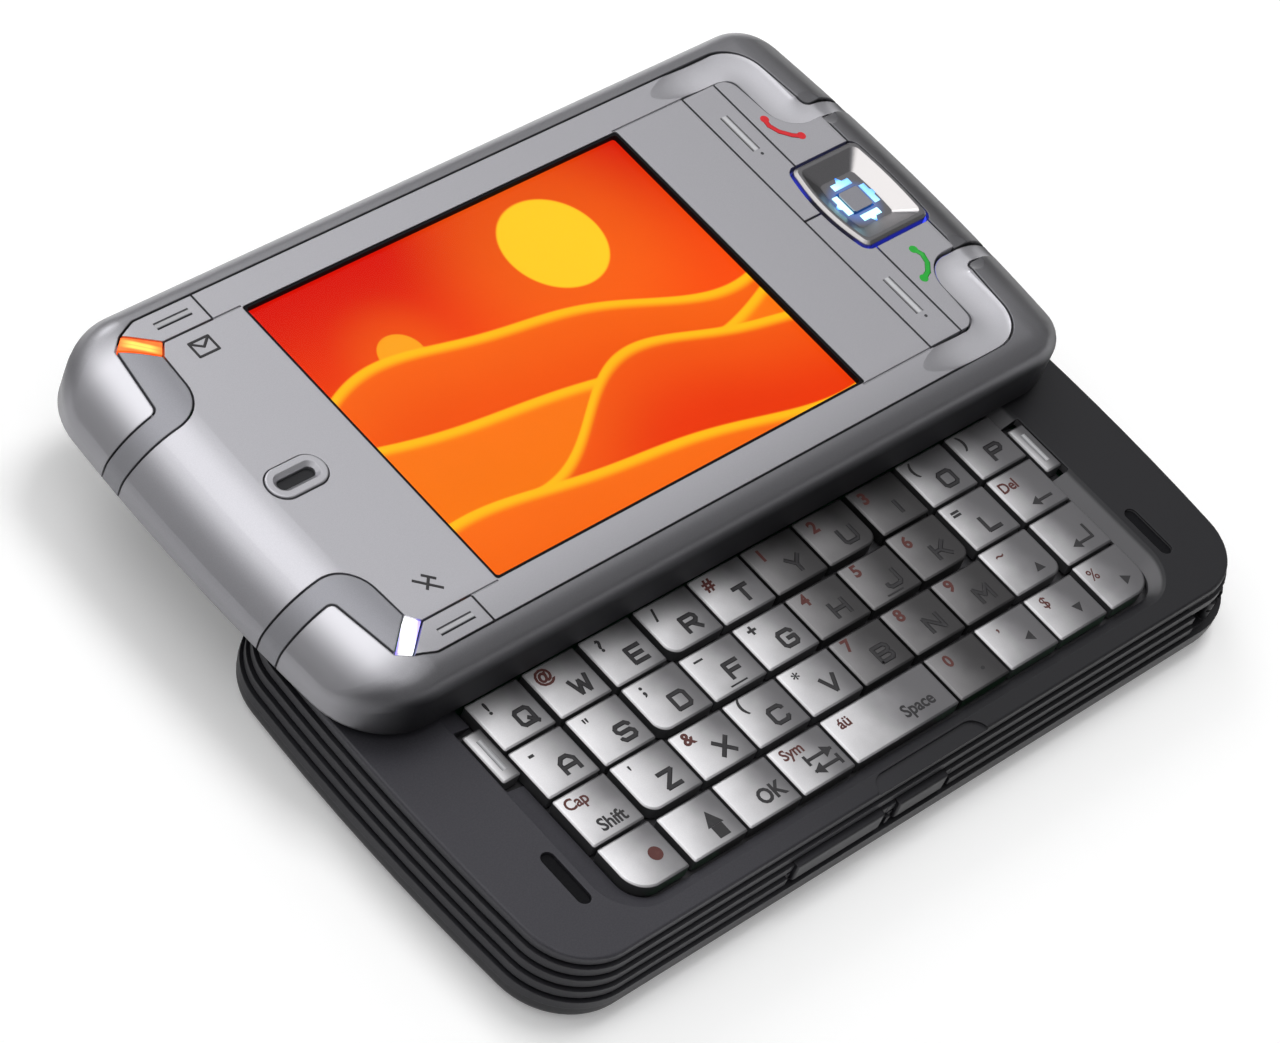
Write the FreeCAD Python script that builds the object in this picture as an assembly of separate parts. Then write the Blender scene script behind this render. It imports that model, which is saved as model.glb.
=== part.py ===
import FreeCAD, Part
import math
import os
from FreeCAD import Vector

# Side-sliding keyboard phone, shown with its display half slid open.
# Frame: origin at the centre of the flat underside, +X towards the navigation keys,
# +Y the way the display half slides open, +Z up. All sizes are in millimetres.

# ---- outline shared by both halves ----
phone_length = 117.5
phone_width = 59.0
corner_radius = 9.5
end_arc_radius = 290.0
half_length = phone_length / 2
half_width = phone_width / 2

# ---- heights ----
deck_top = 9.6
slide_gap = 0.45
display_height = 8.95
slide_overlap = 24.5
slide_travel = phone_width - slide_overlap

# ---- base: lower shell ----
shell_height = 2.4
shell_floor = 1.2
shell_wall = 1.6
shell_inset = 0.1
shell_bottom_round = 1.7
shell_lip_height = 0.9
shell_lip_wall = 0.8
case_clearance = 0.06

# ---- how far cutters run past a wall and joined blocks run into each other ----
overcut = 1.0
overlap = 0.1

# ---- base: upper housing with its ribbed sides ----
deck_thickness = 1.2
deck_inset = 1.5
deck_edge_round = 0.35
housing_wall = 1.3
rib_count = 5
rib_groove_width = 0.4
rib_groove_depth = 0.45

# ---- keyboard ----
key_columns = 10
key_rows = 4
keyboard_from_end = 15.75
key_pitch_x = (phone_length - 2 * keyboard_from_end) / key_columns
keyboard_from_front = 5.6
keyboard_from_back = 24.0
key_pitch_y = (phone_width - keyboard_from_front - keyboard_from_back) / key_rows
key_gap = 0.42
ring_gap_extra = 0.42
keyboard_centre_y = (keyboard_from_front - keyboard_from_back) / 2
key_corner = 0.25
ring_corner = 1.7
end_key_corner = 3.2
key_edge_chamfer = 0.2
key_height = 1.8
key_rise = 0.25
key_travel = 0.4
key_rest_gap = 0.05
window_gap = 0.45
bevel_width_x = 2.9
bevel_width_y = 1.3
bevel_depth = 0.75
bevel_corner_extra = 2.4

# ---- landscape soft keys beside the keyboard ----
wing_key_width = 2.6
wing_key_length = 7.0
wing_key_below_top = 6.8
wing_key_centre_y = half_width - keyboard_from_back - wing_key_below_top
wing_slot_end_gap = 1.0
wing_slot_side_gap = 0.35

# ---- bumper pads and thumb scoop on the deck ----
bumper_from_end = 10.65
bumper_x = half_length - bumper_from_end
bumper_from_front = 11.9
bumper_y = bumper_from_front - half_width
bumper_length = 7.4
bumper_width = 1.7
bumper_recess = 0.35
bumper_depth = 0.9
bumper_clearance = 0.05
scoop_half_length = 9.0
scoop_width = 2.1
scoop_depth = 0.3

# ---- slide: fixed plate with two hooked runners, and two rails ----
plate_thickness = 0.5
plate_end_gap = 5.75
plate_half_length = half_length - plate_end_gap
plate_from_keyboard = 3.1
plate_low_y = half_width - keyboard_from_back + plate_from_keyboard
plate_from_back = 2.9
plate_high_y = half_width - plate_from_back
plate_corner = 3.0
plate_window_length = 16.0
plate_window_width = 6.0
plate_window_x = 12.0
plate_clearance = 0.1
runner_from_end = 11.75
runner_x = half_length - runner_from_end
runner_neck_width = 1.6
runner_head_width = 3.4
runner_head_height = 0.6
runner_end_setback = 0.5
runner_side_clearance = 0.08
runner_height_clearance = 0.08
rail_sheet = 0.4
rail_end_gap = 0.5
rail_recess_gap = 0.05

# ---- battery and its bay ----
battery_left_from_end = 21.75
battery_right_from_end = 37.75
battery_length = phone_length - battery_left_from_end - battery_right_from_end
battery_from_side = 10.5
battery_width = phone_width - 2 * battery_from_side
battery_height = 4.2
battery_x = (battery_left_from_end - battery_right_from_end) / 2
battery_corner = 1.5
battery_clearance = 0.3
bay_wall = 0.9
bay_ceiling = 0.5
cover_thickness = 0.9
cover_margin = 2.0
cover_corner = 3.0
cover_gap = 0.12
cover_grip_radius = 9.0
cover_grip_depth = 0.35

# ---- boards and key mat ----
board_thickness = 0.8
board_inset = 3.6
shield_height = 3.2
shield_margin = 1.2
shield_length = 12.0
shield_width = 30.0
mat_thickness = 0.7

# ---- case screws ----
screw_from_end = 9.25
screw_x = half_length - screw_from_end
screw_from_side = 10.5
screw_y = half_width - screw_from_side
screw_radius = 0.7
screw_head_radius = 1.5
screw_head_height = 0.8
screw_head_sink = 0.1
screw_bore_clearance = 0.05
screw_head_clearance = 0.1
boss_radius = 2.0
boss_gap = 0.15
boss_bore_stop = 0.4
screw_tip_gap = 1.0
plate_screw_from_end = 22.75
plate_screw_x = half_length - plate_screw_from_end

# ---- camera, loudspeaker and connector ----
camera_from_end = 18.75
camera_x = half_length - camera_from_end
camera_from_side = 24.5
camera_y = half_width - camera_from_side
camera_barrel_radius = 4.2
camera_window_radius = 2.6
camera_window_thickness = 0.6
camera_window_recess = 0.2
camera_body_size = 9.0
camera_body_height = 3.0
camera_barrel_rise = 0.5
camera_neck_step = 0.4
camera_clearance = 0.1
speaker_from_end = 16.75
speaker_x = half_length - speaker_from_end
speaker_from_side = 18.0
speaker_y = speaker_from_side - half_width
speaker_length = 15.0
speaker_width = 11.0
speaker_height = 3.2
speaker_slot_length = 8.0
speaker_slot_width = 0.7
speaker_slot_pitch = 1.7
speaker_slot_count = 5
port_from_side = 23.5
port_y = port_from_side - half_width
port_width = 7.7
port_height = 3.3
port_depth = 7.5
port_sheet = 0.4
port_clearance = 0.1
port_tongue_thickness = 0.8
port_tongue_setback = 1.0
port_tongue_side_gap = 1.2

# ---- stylus and its tube ----
stylus_from_side = 5.3
stylus_y = half_width - stylus_from_side
stylus_z = 4.6
stylus_length = 74.0
stylus_radius = 1.6
stylus_head_radius = 1.75
stylus_head_length = 4.3
stylus_tip_length = 5.0
stylus_tip_radius = 0.45
stylus_clearance = 0.08
stylus_tube_wall = 0.5
stylus_tube_length = 60.0
stylus_end_gap = 1.0
stylus_head_step = 0.5
stylus_end_inset = 0.15

# ---- side keys in the front wall and the strap eye ----
rocker_from_end = 43.75
rocker_x = rocker_from_end - half_length
rocker_length = 14.0
shutter_from_end = 57.25
shutter_x = shutter_from_end - half_length
shutter_length = 8.0
side_key_height = 2.6
side_key_z = 5.3
side_key_depth = 1.9
side_key_proud = 0.55
side_key_round = 0.3
side_key_gap = 0.15
side_key_flange = 0.45
side_key_flange_depth = 0.5
side_key_travel = 0.35
rocker_angle = 2.0
side_well_gap = 1.0
side_well_depth = 0.8
side_window_overrun = 0.5
side_board_gap = 1.0
strap_from_end = 8.55
strap_x = half_length - strap_from_end
strap_length = 7.5
strap_height = 3.0
strap_depth = 3.2
strap_z = 5.2
strap_post_radius = 0.6

# ---- display half: skins and walls ----
roll_radius = 3.4
end_fall_length = 9.25
end_fall_radius = 10.0
display_edge_round = 0.7
rim_wall = 2.2
rim_raise = 0.15
skin_thickness = 1.2
skin_clearance = 0.05
skin_gap = 0.26
cover_plate = 1.3
shelf_thickness = 0.55
rim_opening_left_from_end = 7.75
rim_opening_left = rim_opening_left_from_end - half_length
rim_opening_right_from_end = 11.25
rim_opening_right = half_length - rim_opening_right_from_end
rim_opening_from_side = 4.5
rim_opening_half_width = half_width - rim_opening_from_side
rim_opening_corner = 4.0
shelf_clearance = 0.05
back_cover_thickness = 0.95
back_cover_inset = 1.25
back_lip_height = 0.8
back_lip_wall = 0.8

# ---- display half: face layout ----
groove_from_side = 3.25
groove_y = half_width - groove_from_side
band_line_from_side = 7.3
band_line_y = half_width - band_line_from_side
engrave_width = 0.22
engrave_depth = 0.18
engrave_overrun = 0.5
screen_left_from_end = 24.0
screen_right_from_end = 34.6
screen_x = (screen_left_from_end - screen_right_from_end) / 2
screen_half_length = (phone_length - screen_left_from_end - screen_right_from_end) / 2
screen_below_band = 0.15
screen_half_width = band_line_y - screen_below_band
screen_corner = 0.4
strip_inner_from_side = 17.5
strip_inner_y = half_width - strip_inner_from_side
strip_outer_from_side = 14.5
strip_outer_y = half_width - strip_outer_from_side
strip_inner_from_end = 10.85
strip_inner_x = strip_inner_from_end - half_length
strip_outer_from_end = 6.15
strip_outer_x = strip_outer_from_end - half_length
strip_inner_radius = 4.6
strip_outer_radius = 0.9
tail_outer_from_side = 15.1
tail_outer_y = half_width - tail_outer_from_side
tail_radius = 1.6
accent_outer_from_end = 9.85
accent_outer_x = half_length - accent_outer_from_end
accent_radius = 5.2
accent_lean_in = 0.6
accent_lean_out = 0.5
top_key_right_from_end = 19.95
top_key_right_x = top_key_right_from_end - half_length
top_key_left_from_end = 8.95
top_key_left_x = top_key_left_from_end - half_length
top_key_slant = 2.6
top_key_corner = 1.5
lamp_outer_from_end = 7.45
lamp_outer_x = lamp_outer_from_end - half_length
lamp_outer_from_side = 5.6
lamp_outer_y = half_width - lamp_outer_from_side
lamp_inner_from_end = 11.45
lamp_inner_x = lamp_inner_from_end - half_length
lamp_inner_from_side = 8.9
lamp_inner_y = half_width - lamp_inner_from_side
lamp_key_from_side = 4.3
lamp_key_y = half_width - lamp_key_from_side
lamp_join_from_end = 12.75
lamp_join_x = lamp_join_from_end - half_length
cluster_left_from_end = 23.35
cluster_left_x = half_length - cluster_left_from_end
cluster_right_from_end = 8.75
cluster_right_x = half_length - cluster_right_from_end
cluster_waist_from_end = 14.55
cluster_waist_x = half_length - cluster_waist_from_end
cluster_waist_radius = 4.2
cluster_corner_from_end = 15.35
cluster_corner_x = half_length - cluster_corner_from_end
cluster_corner_radius = 2.0
cluster_end_corner = 0.3
cluster_run_in = 1.0
soft_key_right_from_end = 17.95
soft_key_right_x = half_length - soft_key_right_from_end
front_key_gap = 0.28
front_key_height = 2.75
front_key_travel = 0.35
corner_scoop_radius = 4.6
corner_scoop_half_width = 2.7
corner_scoop_height = 3.0
corner_scoop_depth = 0.75
corner_scoop_lift = 0.25
corner_scoop_fade = 13.0
corner_scoop_runout = 5.5
scoop_route_points = 40
thumb_dip_from_end = 7.25
thumb_dip_x = half_length - thumb_dip_from_end
thumb_dip_from_side = 16.3
thumb_dip_y = half_width - thumb_dip_from_side
thumb_dip_radius = 7.0
thumb_dip_depth = 0.8

# ---- navigation key ----
nav_left_from_end = 20.65
nav_left_x = half_length - nav_left_from_end
nav_right_from_end = 7.75
nav_right_x = half_length - nav_right_from_end
nav_half_width = 6.8
nav_corner = 1.1
nav_left_bow = 1.5
nav_right_bow = 0.5
nav_left_bow_radius = 22.0
nav_right_bow_radius = 64.0
nav_rise = 0.5
nav_edge_chamfer = 0.35
nav_dish_margin = 0.75
nav_dish_slope = 2.3
nav_dish_depth = 1.3
nav_lamp_gap = 0.12
nav_lamp_width = 0.22
nav_lamp_height = 1.6
nav_lamp_drop = 0.7
nav_tilt = 2.0
select_half_size = 1.6
select_corner = 0.4
select_gap = 0.15
select_rise = 0.25
select_travel = 0.35

# ---- earpiece ----
earpiece_from_end = 13.55
earpiece_x = earpiece_from_end - half_length
earpiece_length = 8.0
earpiece_width = 4.3
earpiece_ring_wall = 1.4
earpiece_rise = 0.25
earpiece_edge_round = 0.2
earpiece_funnel = 0.5
earpiece_gap = 0.15
earpiece_mesh_drop = 0.6
receiver_length = 10.0
receiver_width = 7.0
receiver_height = 2.4
receiver_corner = 1.5
receiver_gap = 0.4

# ---- screen stack ----
touch_thickness = 1.4
touch_margin = 1.8
lcd_thickness = 3.5
lcd_margin = 1.2
gasket_wall = 0.35
gasket_gap = 0.03
gasket_top_drop = 0.1
frame_thickness = 0.6
frame_wall = 0.8
front_board_thickness = 0.8
dome_thickness = 0.3
front_board_gap = 1.0
support_setback = 2.0
support_thickness = 1.0
side_support_length = 6.5
display_screw_from_end = 18.75
display_screw_x = half_length - display_screw_from_end
display_screw_from_side = 9.5
display_screw_y = half_width - display_screw_from_side
display_screw_sink = 0.05
display_screw_recess = 0.5

# ---- places and heights worked out from the above ----
stylus_start_x = half_length - stylus_length
display_bottom = deck_top + slide_gap
face_z = display_bottom + display_height
rim_bottom = display_bottom + rim_raise
back_cover_top = display_bottom + back_cover_thickness
cover_bottom = face_z - cover_plate
shelf_top = cover_bottom - shelf_clearance
shelf_bottom = shelf_top - shelf_thickness
key_top = deck_top + key_rise
key_bottom = key_top - key_height
mat_top = key_bottom - key_travel - key_rest_gap
board_top = mat_top - mat_thickness
board_bottom = board_top - board_thickness
deck_bottom = deck_top - deck_thickness
bevel_floor = deck_top - bevel_depth
cavity_inset = deck_inset + rib_groove_depth + housing_wall
battery_bottom = cover_thickness + case_clearance
battery_top = battery_bottom + battery_height
bay_ceiling_bottom = battery_top + case_clearance
bay_top = bay_ceiling_bottom + bay_ceiling
plate_bottom = deck_top - plate_thickness
rail_bottom = back_cover_top
head_bottom = rail_bottom + rail_sheet + runner_height_clearance
head_top = head_bottom + runner_head_height
rail_top = head_top + runner_height_clearance + rail_sheet
frame_bottom = rail_top + case_clearance
frame_top = frame_bottom + frame_thickness
lcd_top = frame_top + lcd_thickness
touch_top = lcd_top + touch_thickness
front_key_bottom = face_z - front_key_height
dome_top = front_key_bottom - front_key_travel - key_rest_gap
front_board_top = dome_top - dome_thickness
front_board_bottom = front_board_top - front_board_thickness
scoop_side_y = (groove_y + band_line_y) / 2
scoop_tail_y = (tail_outer_y + strip_inner_y) / 2
scoop_column_x = (accent_outer_x + cluster_corner_x) / 2
scoop_start_x = scoop_column_x - accent_radius - corner_scoop_fade
runner_low_y = plate_low_y + runner_end_setback
runner_high_y = plate_high_y - runner_end_setback
rail_low_y = runner_low_y - slide_travel - rail_end_gap
rail_high_y = runner_high_y + rail_end_gap
rail_half_width = runner_head_width / 2 + runner_side_clearance + rail_sheet
rail_slot_half = runner_neck_width / 2 + runner_side_clearance
keyboard_left = -key_columns * key_pitch_x / 2
keyboard_right = key_columns * key_pitch_x / 2
keyboard_bottom = keyboard_centre_y - key_rows * key_pitch_y / 2
keyboard_top = keyboard_centre_y + key_rows * key_pitch_y / 2


# ---- shape helpers ----
def rounded_polygon(corners, z=0.0):
    # Closed wire through corners (x, y, radius), each corner an arc of its radius.
    count = len(corners)
    edges = []
    ends = []
    for i in range(count):
        x, y, radius = corners[i]
        before = corners[i - 1]
        after = corners[(i + 1) % count]
        here = Vector(x, y, z)
        back = (Vector(before[0], before[1], z) - here).normalize()
        ahead = (Vector(after[0], after[1], z) - here).normalize()
        if radius <= 0:
            ends.append((here, here))
            continue
        half_angle = back.getAngle(ahead) / 2
        reach = radius / math.tan(half_angle)
        bisector = (back + ahead).normalize()
        middle = here + bisector * (radius / math.sin(half_angle) - radius)
        start = here + back * reach
        finish = here + ahead * reach
        edges.append(Part.Arc(start, middle, finish).toShape())
        ends.append((start, finish))
    for i in range(count):
        start = ends[i][1]
        finish = ends[(i + 1) % count][0]
        if (finish - start).Length > 1e-6:
            edges.append(Part.LineSegment(start, finish).toShape())
    return Part.Wire(Part.__sortEdges__(edges))


def prism(wire, low, high):
    face = Part.Face(wire)
    face.translate(Vector(0, 0, low - wire.BoundBox.ZMin))
    return face.extrude(Vector(0, 0, high - low))


def box(x0, x1, y0, y1, z0, z1):
    return Part.makeBox(x1 - x0, y1 - y0, z1 - z0, Vector(x0, y0, z0))


def rounded_box(x0, x1, y0, y1, z0, z1, radius):
    corners = [(x0, y0, radius), (x1, y0, radius), (x1, y1, radius), (x0, y1, radius)]
    return prism(rounded_polygon(corners), z0, z1)


def pill(x, y, length, width, z0, z1, turned=False):
    # Slot-ended block, long along X, or along Y when turned.
    half_x = length / 2
    half_y = width / 2
    if turned:
        half_x, half_y = half_y, half_x
    end = width / 2 - 0.001
    return rounded_box(x - half_x, x + half_x, y - half_y, y + half_y, z0, z1, end)


def cylinder(x, y, z0, z1, radius):
    return Part.makeCylinder(radius, z1 - z0, Vector(x, y, z0))


def grow(wire, distance):
    return wire.makeOffset2D(distance)


def mirror_y(shape):
    return shape.mirror(Vector(0, 0, 0), Vector(0, 1, 0))


def both_sides(shape):
    return [shape, mirror_y(shape)]


def flip_corners(corners):
    return [(x, -y, radius) for x, y, radius in reversed(corners)]


def edges_at(shape, height):
    found = []
    for edge in shape.Edges:
        bounds = edge.BoundBox
        if abs(bounds.ZMin - height) < 1e-4 and abs(bounds.ZMax - height) < 1e-4:
            found.append(edge)
    return found


def joined(shapes):
    result = shapes[0].fuse(shapes[1:]) if len(shapes) > 1 else shapes[0]
    return result.removeSplitter()


def save(node, shape):
    solids = shape.Solids
    result = solids[0] if len(solids) == 1 else Part.makeCompound(solids)
    result.exportStep(os.path.join("parts", node + ".step"))


def save_display(node, shape):
    moved = shape.copy()
    moved.translate(Vector(0, slide_travel, 0))
    save(node, moved)


# ---- outline of both halves: straight sides, round corners, slightly bowed ends ----
def outline(inset):
    half_x = phone_length / 2 - inset
    half_y = phone_width / 2 - inset
    corner = corner_radius - inset
    end = end_arc_radius - inset
    corner_y = half_y - corner
    end_centre = half_x - end
    corner_x = end_centre + math.sqrt((end - corner) ** 2 - corner_y ** 2)
    meet = math.atan2(corner_y, corner_x - end_centre)
    middle = (meet + math.pi / 2) / 2
    touch = (end_centre + end * math.cos(meet), end * math.sin(meet))
    bend = (corner_x + corner * math.cos(middle), corner_y + corner * math.sin(middle))

    def point(pair, sign_x, sign_y):
        return Vector(pair[0] * sign_x, pair[1] * sign_y, 0)

    edges = []
    for sign in (1, -1):
        low = point(touch, sign, -sign)
        high = point(touch, sign, sign)
        tip = Vector(sign * half_x, 0, 0)
        edges.append(Part.Arc(low, tip, high).toShape())
        side = Vector(sign * corner_x, sign * half_y, 0)
        edges.append(Part.Arc(high, point(bend, sign, sign), side).toShape())
        far_side = Vector(-sign * corner_x, sign * half_y, 0)
        edges.append(Part.LineSegment(side, far_side).toShape())
        far_touch = point(touch, -sign, sign)
        edges.append(Part.Arc(far_side, point(bend, -sign, sign), far_touch).toShape())
    return Part.Wire(Part.__sortEdges__(edges))


def on_outline(edge, inset):
    # True for an edge that lies in the side walls and isn't upright.
    middle = edge.valueAt((edge.FirstParameter + edge.LastParameter) / 2)
    flat = Vector(middle.x, middle.y, 0)
    near = outline(inset).distToShape(Part.Vertex(flat))[0] < 0.001
    return near and edge.BoundBox.ZLength < edge.Length * 0.9


def outline_slab(inset, low, high):
    return prism(outline(inset), low, high)


# ---- keyboard layout ----
# The keyboard window has three nested U-shaped grooves. Groove n starts between column n
# and the next one in from each end, and runs below its row.
def in_groove(column, row):
    # True where the key at this cell lies inside the groove that runs below its row.
    margin = key_rows - 1 - row
    return row < key_rows - 1 and margin <= column <= key_columns - 1 - margin


def key_cell(column, row, span=1):
    half_gap = key_gap / 2
    left = keyboard_left + column * key_pitch_x + half_gap
    right = keyboard_left + (column + span) * key_pitch_x - half_gap
    high = keyboard_top - row * key_pitch_y - half_gap
    low = keyboard_top - (row + 1) * key_pitch_y + half_gap
    last = column + span - 1
    deepest = min(row, key_rows - 2)
    for groove in range(deepest, key_rows - 1):
        margin = key_rows - 1 - groove
        if last + 1 == margin:
            right -= ring_gap_extra
        if column == key_columns - margin:
            left += ring_gap_extra
    if row > 0 and in_groove(column, row - 1):
        high -= ring_gap_extra
    return left, right, low, high


def key_corner_radii(column, row, span=1):
    # Radii at the lower left, lower right, upper right and upper left corners.
    low_left = key_corner
    low_right = key_corner
    margin = key_rows - 1 - row
    if row < key_rows - 1 and column == margin:
        low_left = ring_corner
    if row < key_rows - 1 and column == key_columns - 1 - margin:
        low_right = ring_corner
    if row == key_rows - 1 and column == 0:
        low_left = end_key_corner
    if row == key_rows - 1 and column + span == key_columns:
        low_right = end_key_corner
    return low_left, low_right, key_corner, key_corner


def keycap(column, row, span=1):
    left, right, low, high = key_cell(column, row, span)
    radii = key_corner_radii(column, row, span)
    places = [(left, low), (right, low), (right, high), (left, high)]
    corners = [(x, y, radius) for (x, y), radius in zip(places, radii)]
    cap = prism(rounded_polygon(corners), key_bottom, key_top)
    return cap.makeChamfer(key_edge_chamfer, edges_at(cap, key_top))


key_groups = {
    "keys_row1_letters": [(0, 0), (1, 0), (2, 0), (3, 0), (4, 0), (8, 0), (9, 0)],
    "keys_row1_numbers": [(5, 0), (6, 0), (7, 0)],
    "keys_row2_letters": [(0, 1), (1, 1), (2, 1), (3, 1), (4, 1), (8, 1)],
    "keys_row2_numbers": [(5, 1), (6, 1), (7, 1)],
    "key_delete": [(9, 1)],
    "key_shift": [(0, 2)],
    "keys_row3_letters": [(1, 2), (2, 2), (3, 2), (4, 2)],
    "keys_row3_numbers": [(5, 2), (6, 2), (7, 2)],
    "key_enter": [(9, 2)],
    "key_function": [(0, 3)],
    "key_home": [(1, 3)],
    "key_ok": [(2, 3)],
    "key_symbol": [(3, 3)],
    "key_space": [(4, 3, 2)],
    "key_zero": [(6, 3)],
    "keys_arrows": [(8, 2), (7, 3), (8, 3), (9, 3)],
}


def make_keyboard():
    for node, cells in key_groups.items():
        save(node, Part.makeCompound([keycap(*cell) for cell in cells]))


def keyboard_outline(margin_x, margin_y, corner_extra):
    low_radius = end_key_corner + corner_extra
    left = keyboard_left - margin_x
    right = keyboard_right + margin_x
    low = keyboard_bottom - margin_y
    high = keyboard_top + margin_y
    corners = [(left, low, low_radius), (right, low, low_radius)]
    corners += [(right, high, key_corner), (left, high, key_corner)]
    return rounded_polygon(corners)


# ---- landscape soft keys ----
def wing_key_span(side):
    inner = keyboard_right + window_gap / 2
    outer = inner + wing_key_width
    if side < 0:
        return -outer, -inner
    return inner, outer


def wing_key(side):
    left, right = wing_key_span(side)
    low = wing_key_centre_y - wing_key_length / 2
    high = wing_key_centre_y + wing_key_length / 2
    cap = rounded_box(left, right, low, high, key_bottom, key_top, key_corner)
    return cap.makeChamfer(key_edge_chamfer, edges_at(cap, key_top))


def wing_slot(side):
    left, right = wing_key_span(side)
    reach = wing_key_length / 2 + wing_slot_end_gap
    grown = wing_slot_side_gap
    return rounded_box(left - grown, right + grown, wing_key_centre_y - reach,
                       wing_key_centre_y + reach, deck_bottom - overcut, deck_top + overcut,
                       key_corner)


# ---- upper housing: deck, ribbed sides and everything cut into them ----
def ribbed_body():
    rib_zone = deck_top - shell_height
    rib_height = (rib_zone - (rib_count - 1) * rib_groove_width) / rib_count
    slabs = []
    high = deck_top
    for i in range(rib_count):
        inset = deck_inset * (1 - i / (rib_count - 1))
        rib = outline_slab(inset, high - rib_height, high)
        if i == 0:
            rib = rib.makeFillet(deck_edge_round, edges_at(rib, high))
        slabs.append(rib)
        high -= rib_height
        if i < rib_count - 1:
            slabs.append(outline_slab(inset + rib_groove_depth, high - rib_groove_width, high))
            high -= rib_groove_width
    return slabs


def bevelled_opening():
    inner = keyboard_outline(window_gap, window_gap, window_gap)
    outer = keyboard_outline(bevel_width_x + window_gap, bevel_width_y + window_gap,
                             bevel_corner_extra + window_gap)
    inner.translate(Vector(0, 0, bevel_floor))
    outer.translate(Vector(0, 0, deck_top))
    bevel = Part.makeLoft([inner, outer], True, True)
    through = prism(keyboard_outline(window_gap, window_gap, window_gap),
                    deck_bottom - overcut, bevel_floor)
    return [bevel, through]


def bumper_pocket(side):
    grown = 2 * bumper_clearance
    return pill(side * bumper_x, bumper_y, bumper_length + grown, bumper_width + grown,
                deck_top - bumper_depth, deck_top + overcut, turned=True)


def bumper_pad(side):
    return pill(side * bumper_x, bumper_y, bumper_length, bumper_width,
                deck_top - bumper_depth, deck_top - bumper_recess, turned=True)


def thumb_scoop():
    edge = -phone_width / 2 + deck_inset
    radius = scoop_half_length / 4
    return rounded_box(-scoop_half_length, scoop_half_length, edge - 2 * radius,
                       edge + scoop_width, deck_top - scoop_depth, deck_top + overcut, radius)


def side_key_well(x, length):
    # Shallow well round a side key, and the window that the key works through.
    wall_y = -phone_width / 2
    inner_y = wall_y + cavity_inset
    low = side_key_z - side_key_height / 2
    high = side_key_z + side_key_height / 2
    half = length / 2
    gap = side_key_gap
    window = box(x - half - gap, x + half + gap, wall_y - overcut, inner_y + side_window_overrun,
                 low - gap, high + gap)
    reach = half + side_well_gap
    well = box(x - reach, x + reach, wall_y - overcut, wall_y + side_well_depth,
               low - gap, high + gap)
    return [window, well]


def strap_eye():
    # Scooped strap eye near the corner, with an upright post left across its mouth.
    wall_y = -phone_width / 2
    low = strap_z - strap_height / 2
    high = strap_z + strap_height / 2
    half = strap_length / 2
    mouth = box(strap_x - half, strap_x + half, wall_y - overcut, wall_y + strap_depth, low, high)
    upright = [e for e in mouth.Edges if abs(e.Vertexes[0].Z - e.Vertexes[1].Z) > 1]
    mouth = mouth.makeFillet(strap_depth / 3, upright)
    post_y = wall_y + strap_depth / 2
    post = cylinder(strap_x, post_y, low - overlap, high + overlap, strap_post_radius)
    return mouth.cut(post)


def strap_wall():
    # Solid corner block that the strap eye is cut from.
    wall_y = -phone_width / 2
    half = strap_length / 2 + housing_wall
    block = box(strap_x - half, strap_x + half, wall_y, wall_y + strap_depth + housing_wall,
                shell_height, deck_bottom)
    return block.common(outline_slab(deck_inset, shell_height, deck_bottom))


def stylus_bore(radius):
    start = Vector(stylus_start_x - stylus_end_gap, stylus_y, stylus_z)
    return Part.makeCylinder(radius, phone_length, start, Vector(1, 0, 0))


def screw_places():
    return [(sx * screw_x, sy * screw_y) for sx in (1, -1) for sy in (1, -1)]


def port_opening(grown):
    x_out = phone_length / 2
    low = port_z() - port_height / 2
    return box(x_out - port_depth - grown, x_out + overcut, port_y - port_width / 2 - grown,
               port_y + port_width / 2 + grown, low - grown, low + port_height + grown)


def port_z():
    return board_bottom - port_height / 2 - port_sheet


def make_upper_housing():
    cavity = outline_slab(cavity_inset, shell_height - overcut, deck_bottom)
    cutters = bevelled_opening()
    for side in (1, -1):
        cutters.append(wing_slot(side))
        cutters.append(bumper_pocket(side))
    cutters.append(thumb_scoop())
    pocket = rounded_box(-plate_half_length - plate_clearance, plate_half_length + plate_clearance,
                         plate_low_y - plate_clearance, plate_high_y + plate_clearance,
                         plate_bottom, deck_top + overcut, plate_corner + plate_clearance)
    cutters.append(pocket)
    body = joined(ribbed_body()).cut(cavity)
    additions = [strap_wall()]
    for x, y in screw_places():
        additions.append(cylinder(x, y, shell_floor + boss_gap, deck_bottom, boss_radius))
    body = body.fuse(additions)
    for x, length in ((rocker_x, rocker_length), (shutter_x, shutter_length)):
        cutters += side_key_well(x, length)
    cutters.append(strap_eye())
    cutters.append(stylus_bore(stylus_head_radius + stylus_clearance))
    cutters.append(port_opening(port_sheet + port_clearance))
    for x, y in screw_places():
        bore = screw_radius + screw_bore_clearance
        cutters.append(cylinder(x, y, shell_floor, deck_bottom - boss_bore_stop, bore))
    for side in (1, -1):
        middle_y = (plate_low_y + plate_high_y) / 2
        cutters.append(cylinder(side * plate_screw_x, middle_y, deck_bottom - overcut, deck_top,
                                screw_radius + screw_bore_clearance))
    body = body.cut(cutters)
    save("upper_housing", body.removeSplitter())


def make_bumper_pads():
    save("bumper_pads", Part.makeCompound([bumper_pad(1), bumper_pad(-1)]))


# ---- lower shell with the battery bay ----
def battery_block(grown, low, high):
    half_x = battery_length / 2 + grown
    half_y = battery_width / 2 + grown
    return rounded_box(battery_x - half_x, battery_x + half_x, -half_y, half_y,
                       low, high, battery_corner + grown)


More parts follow.
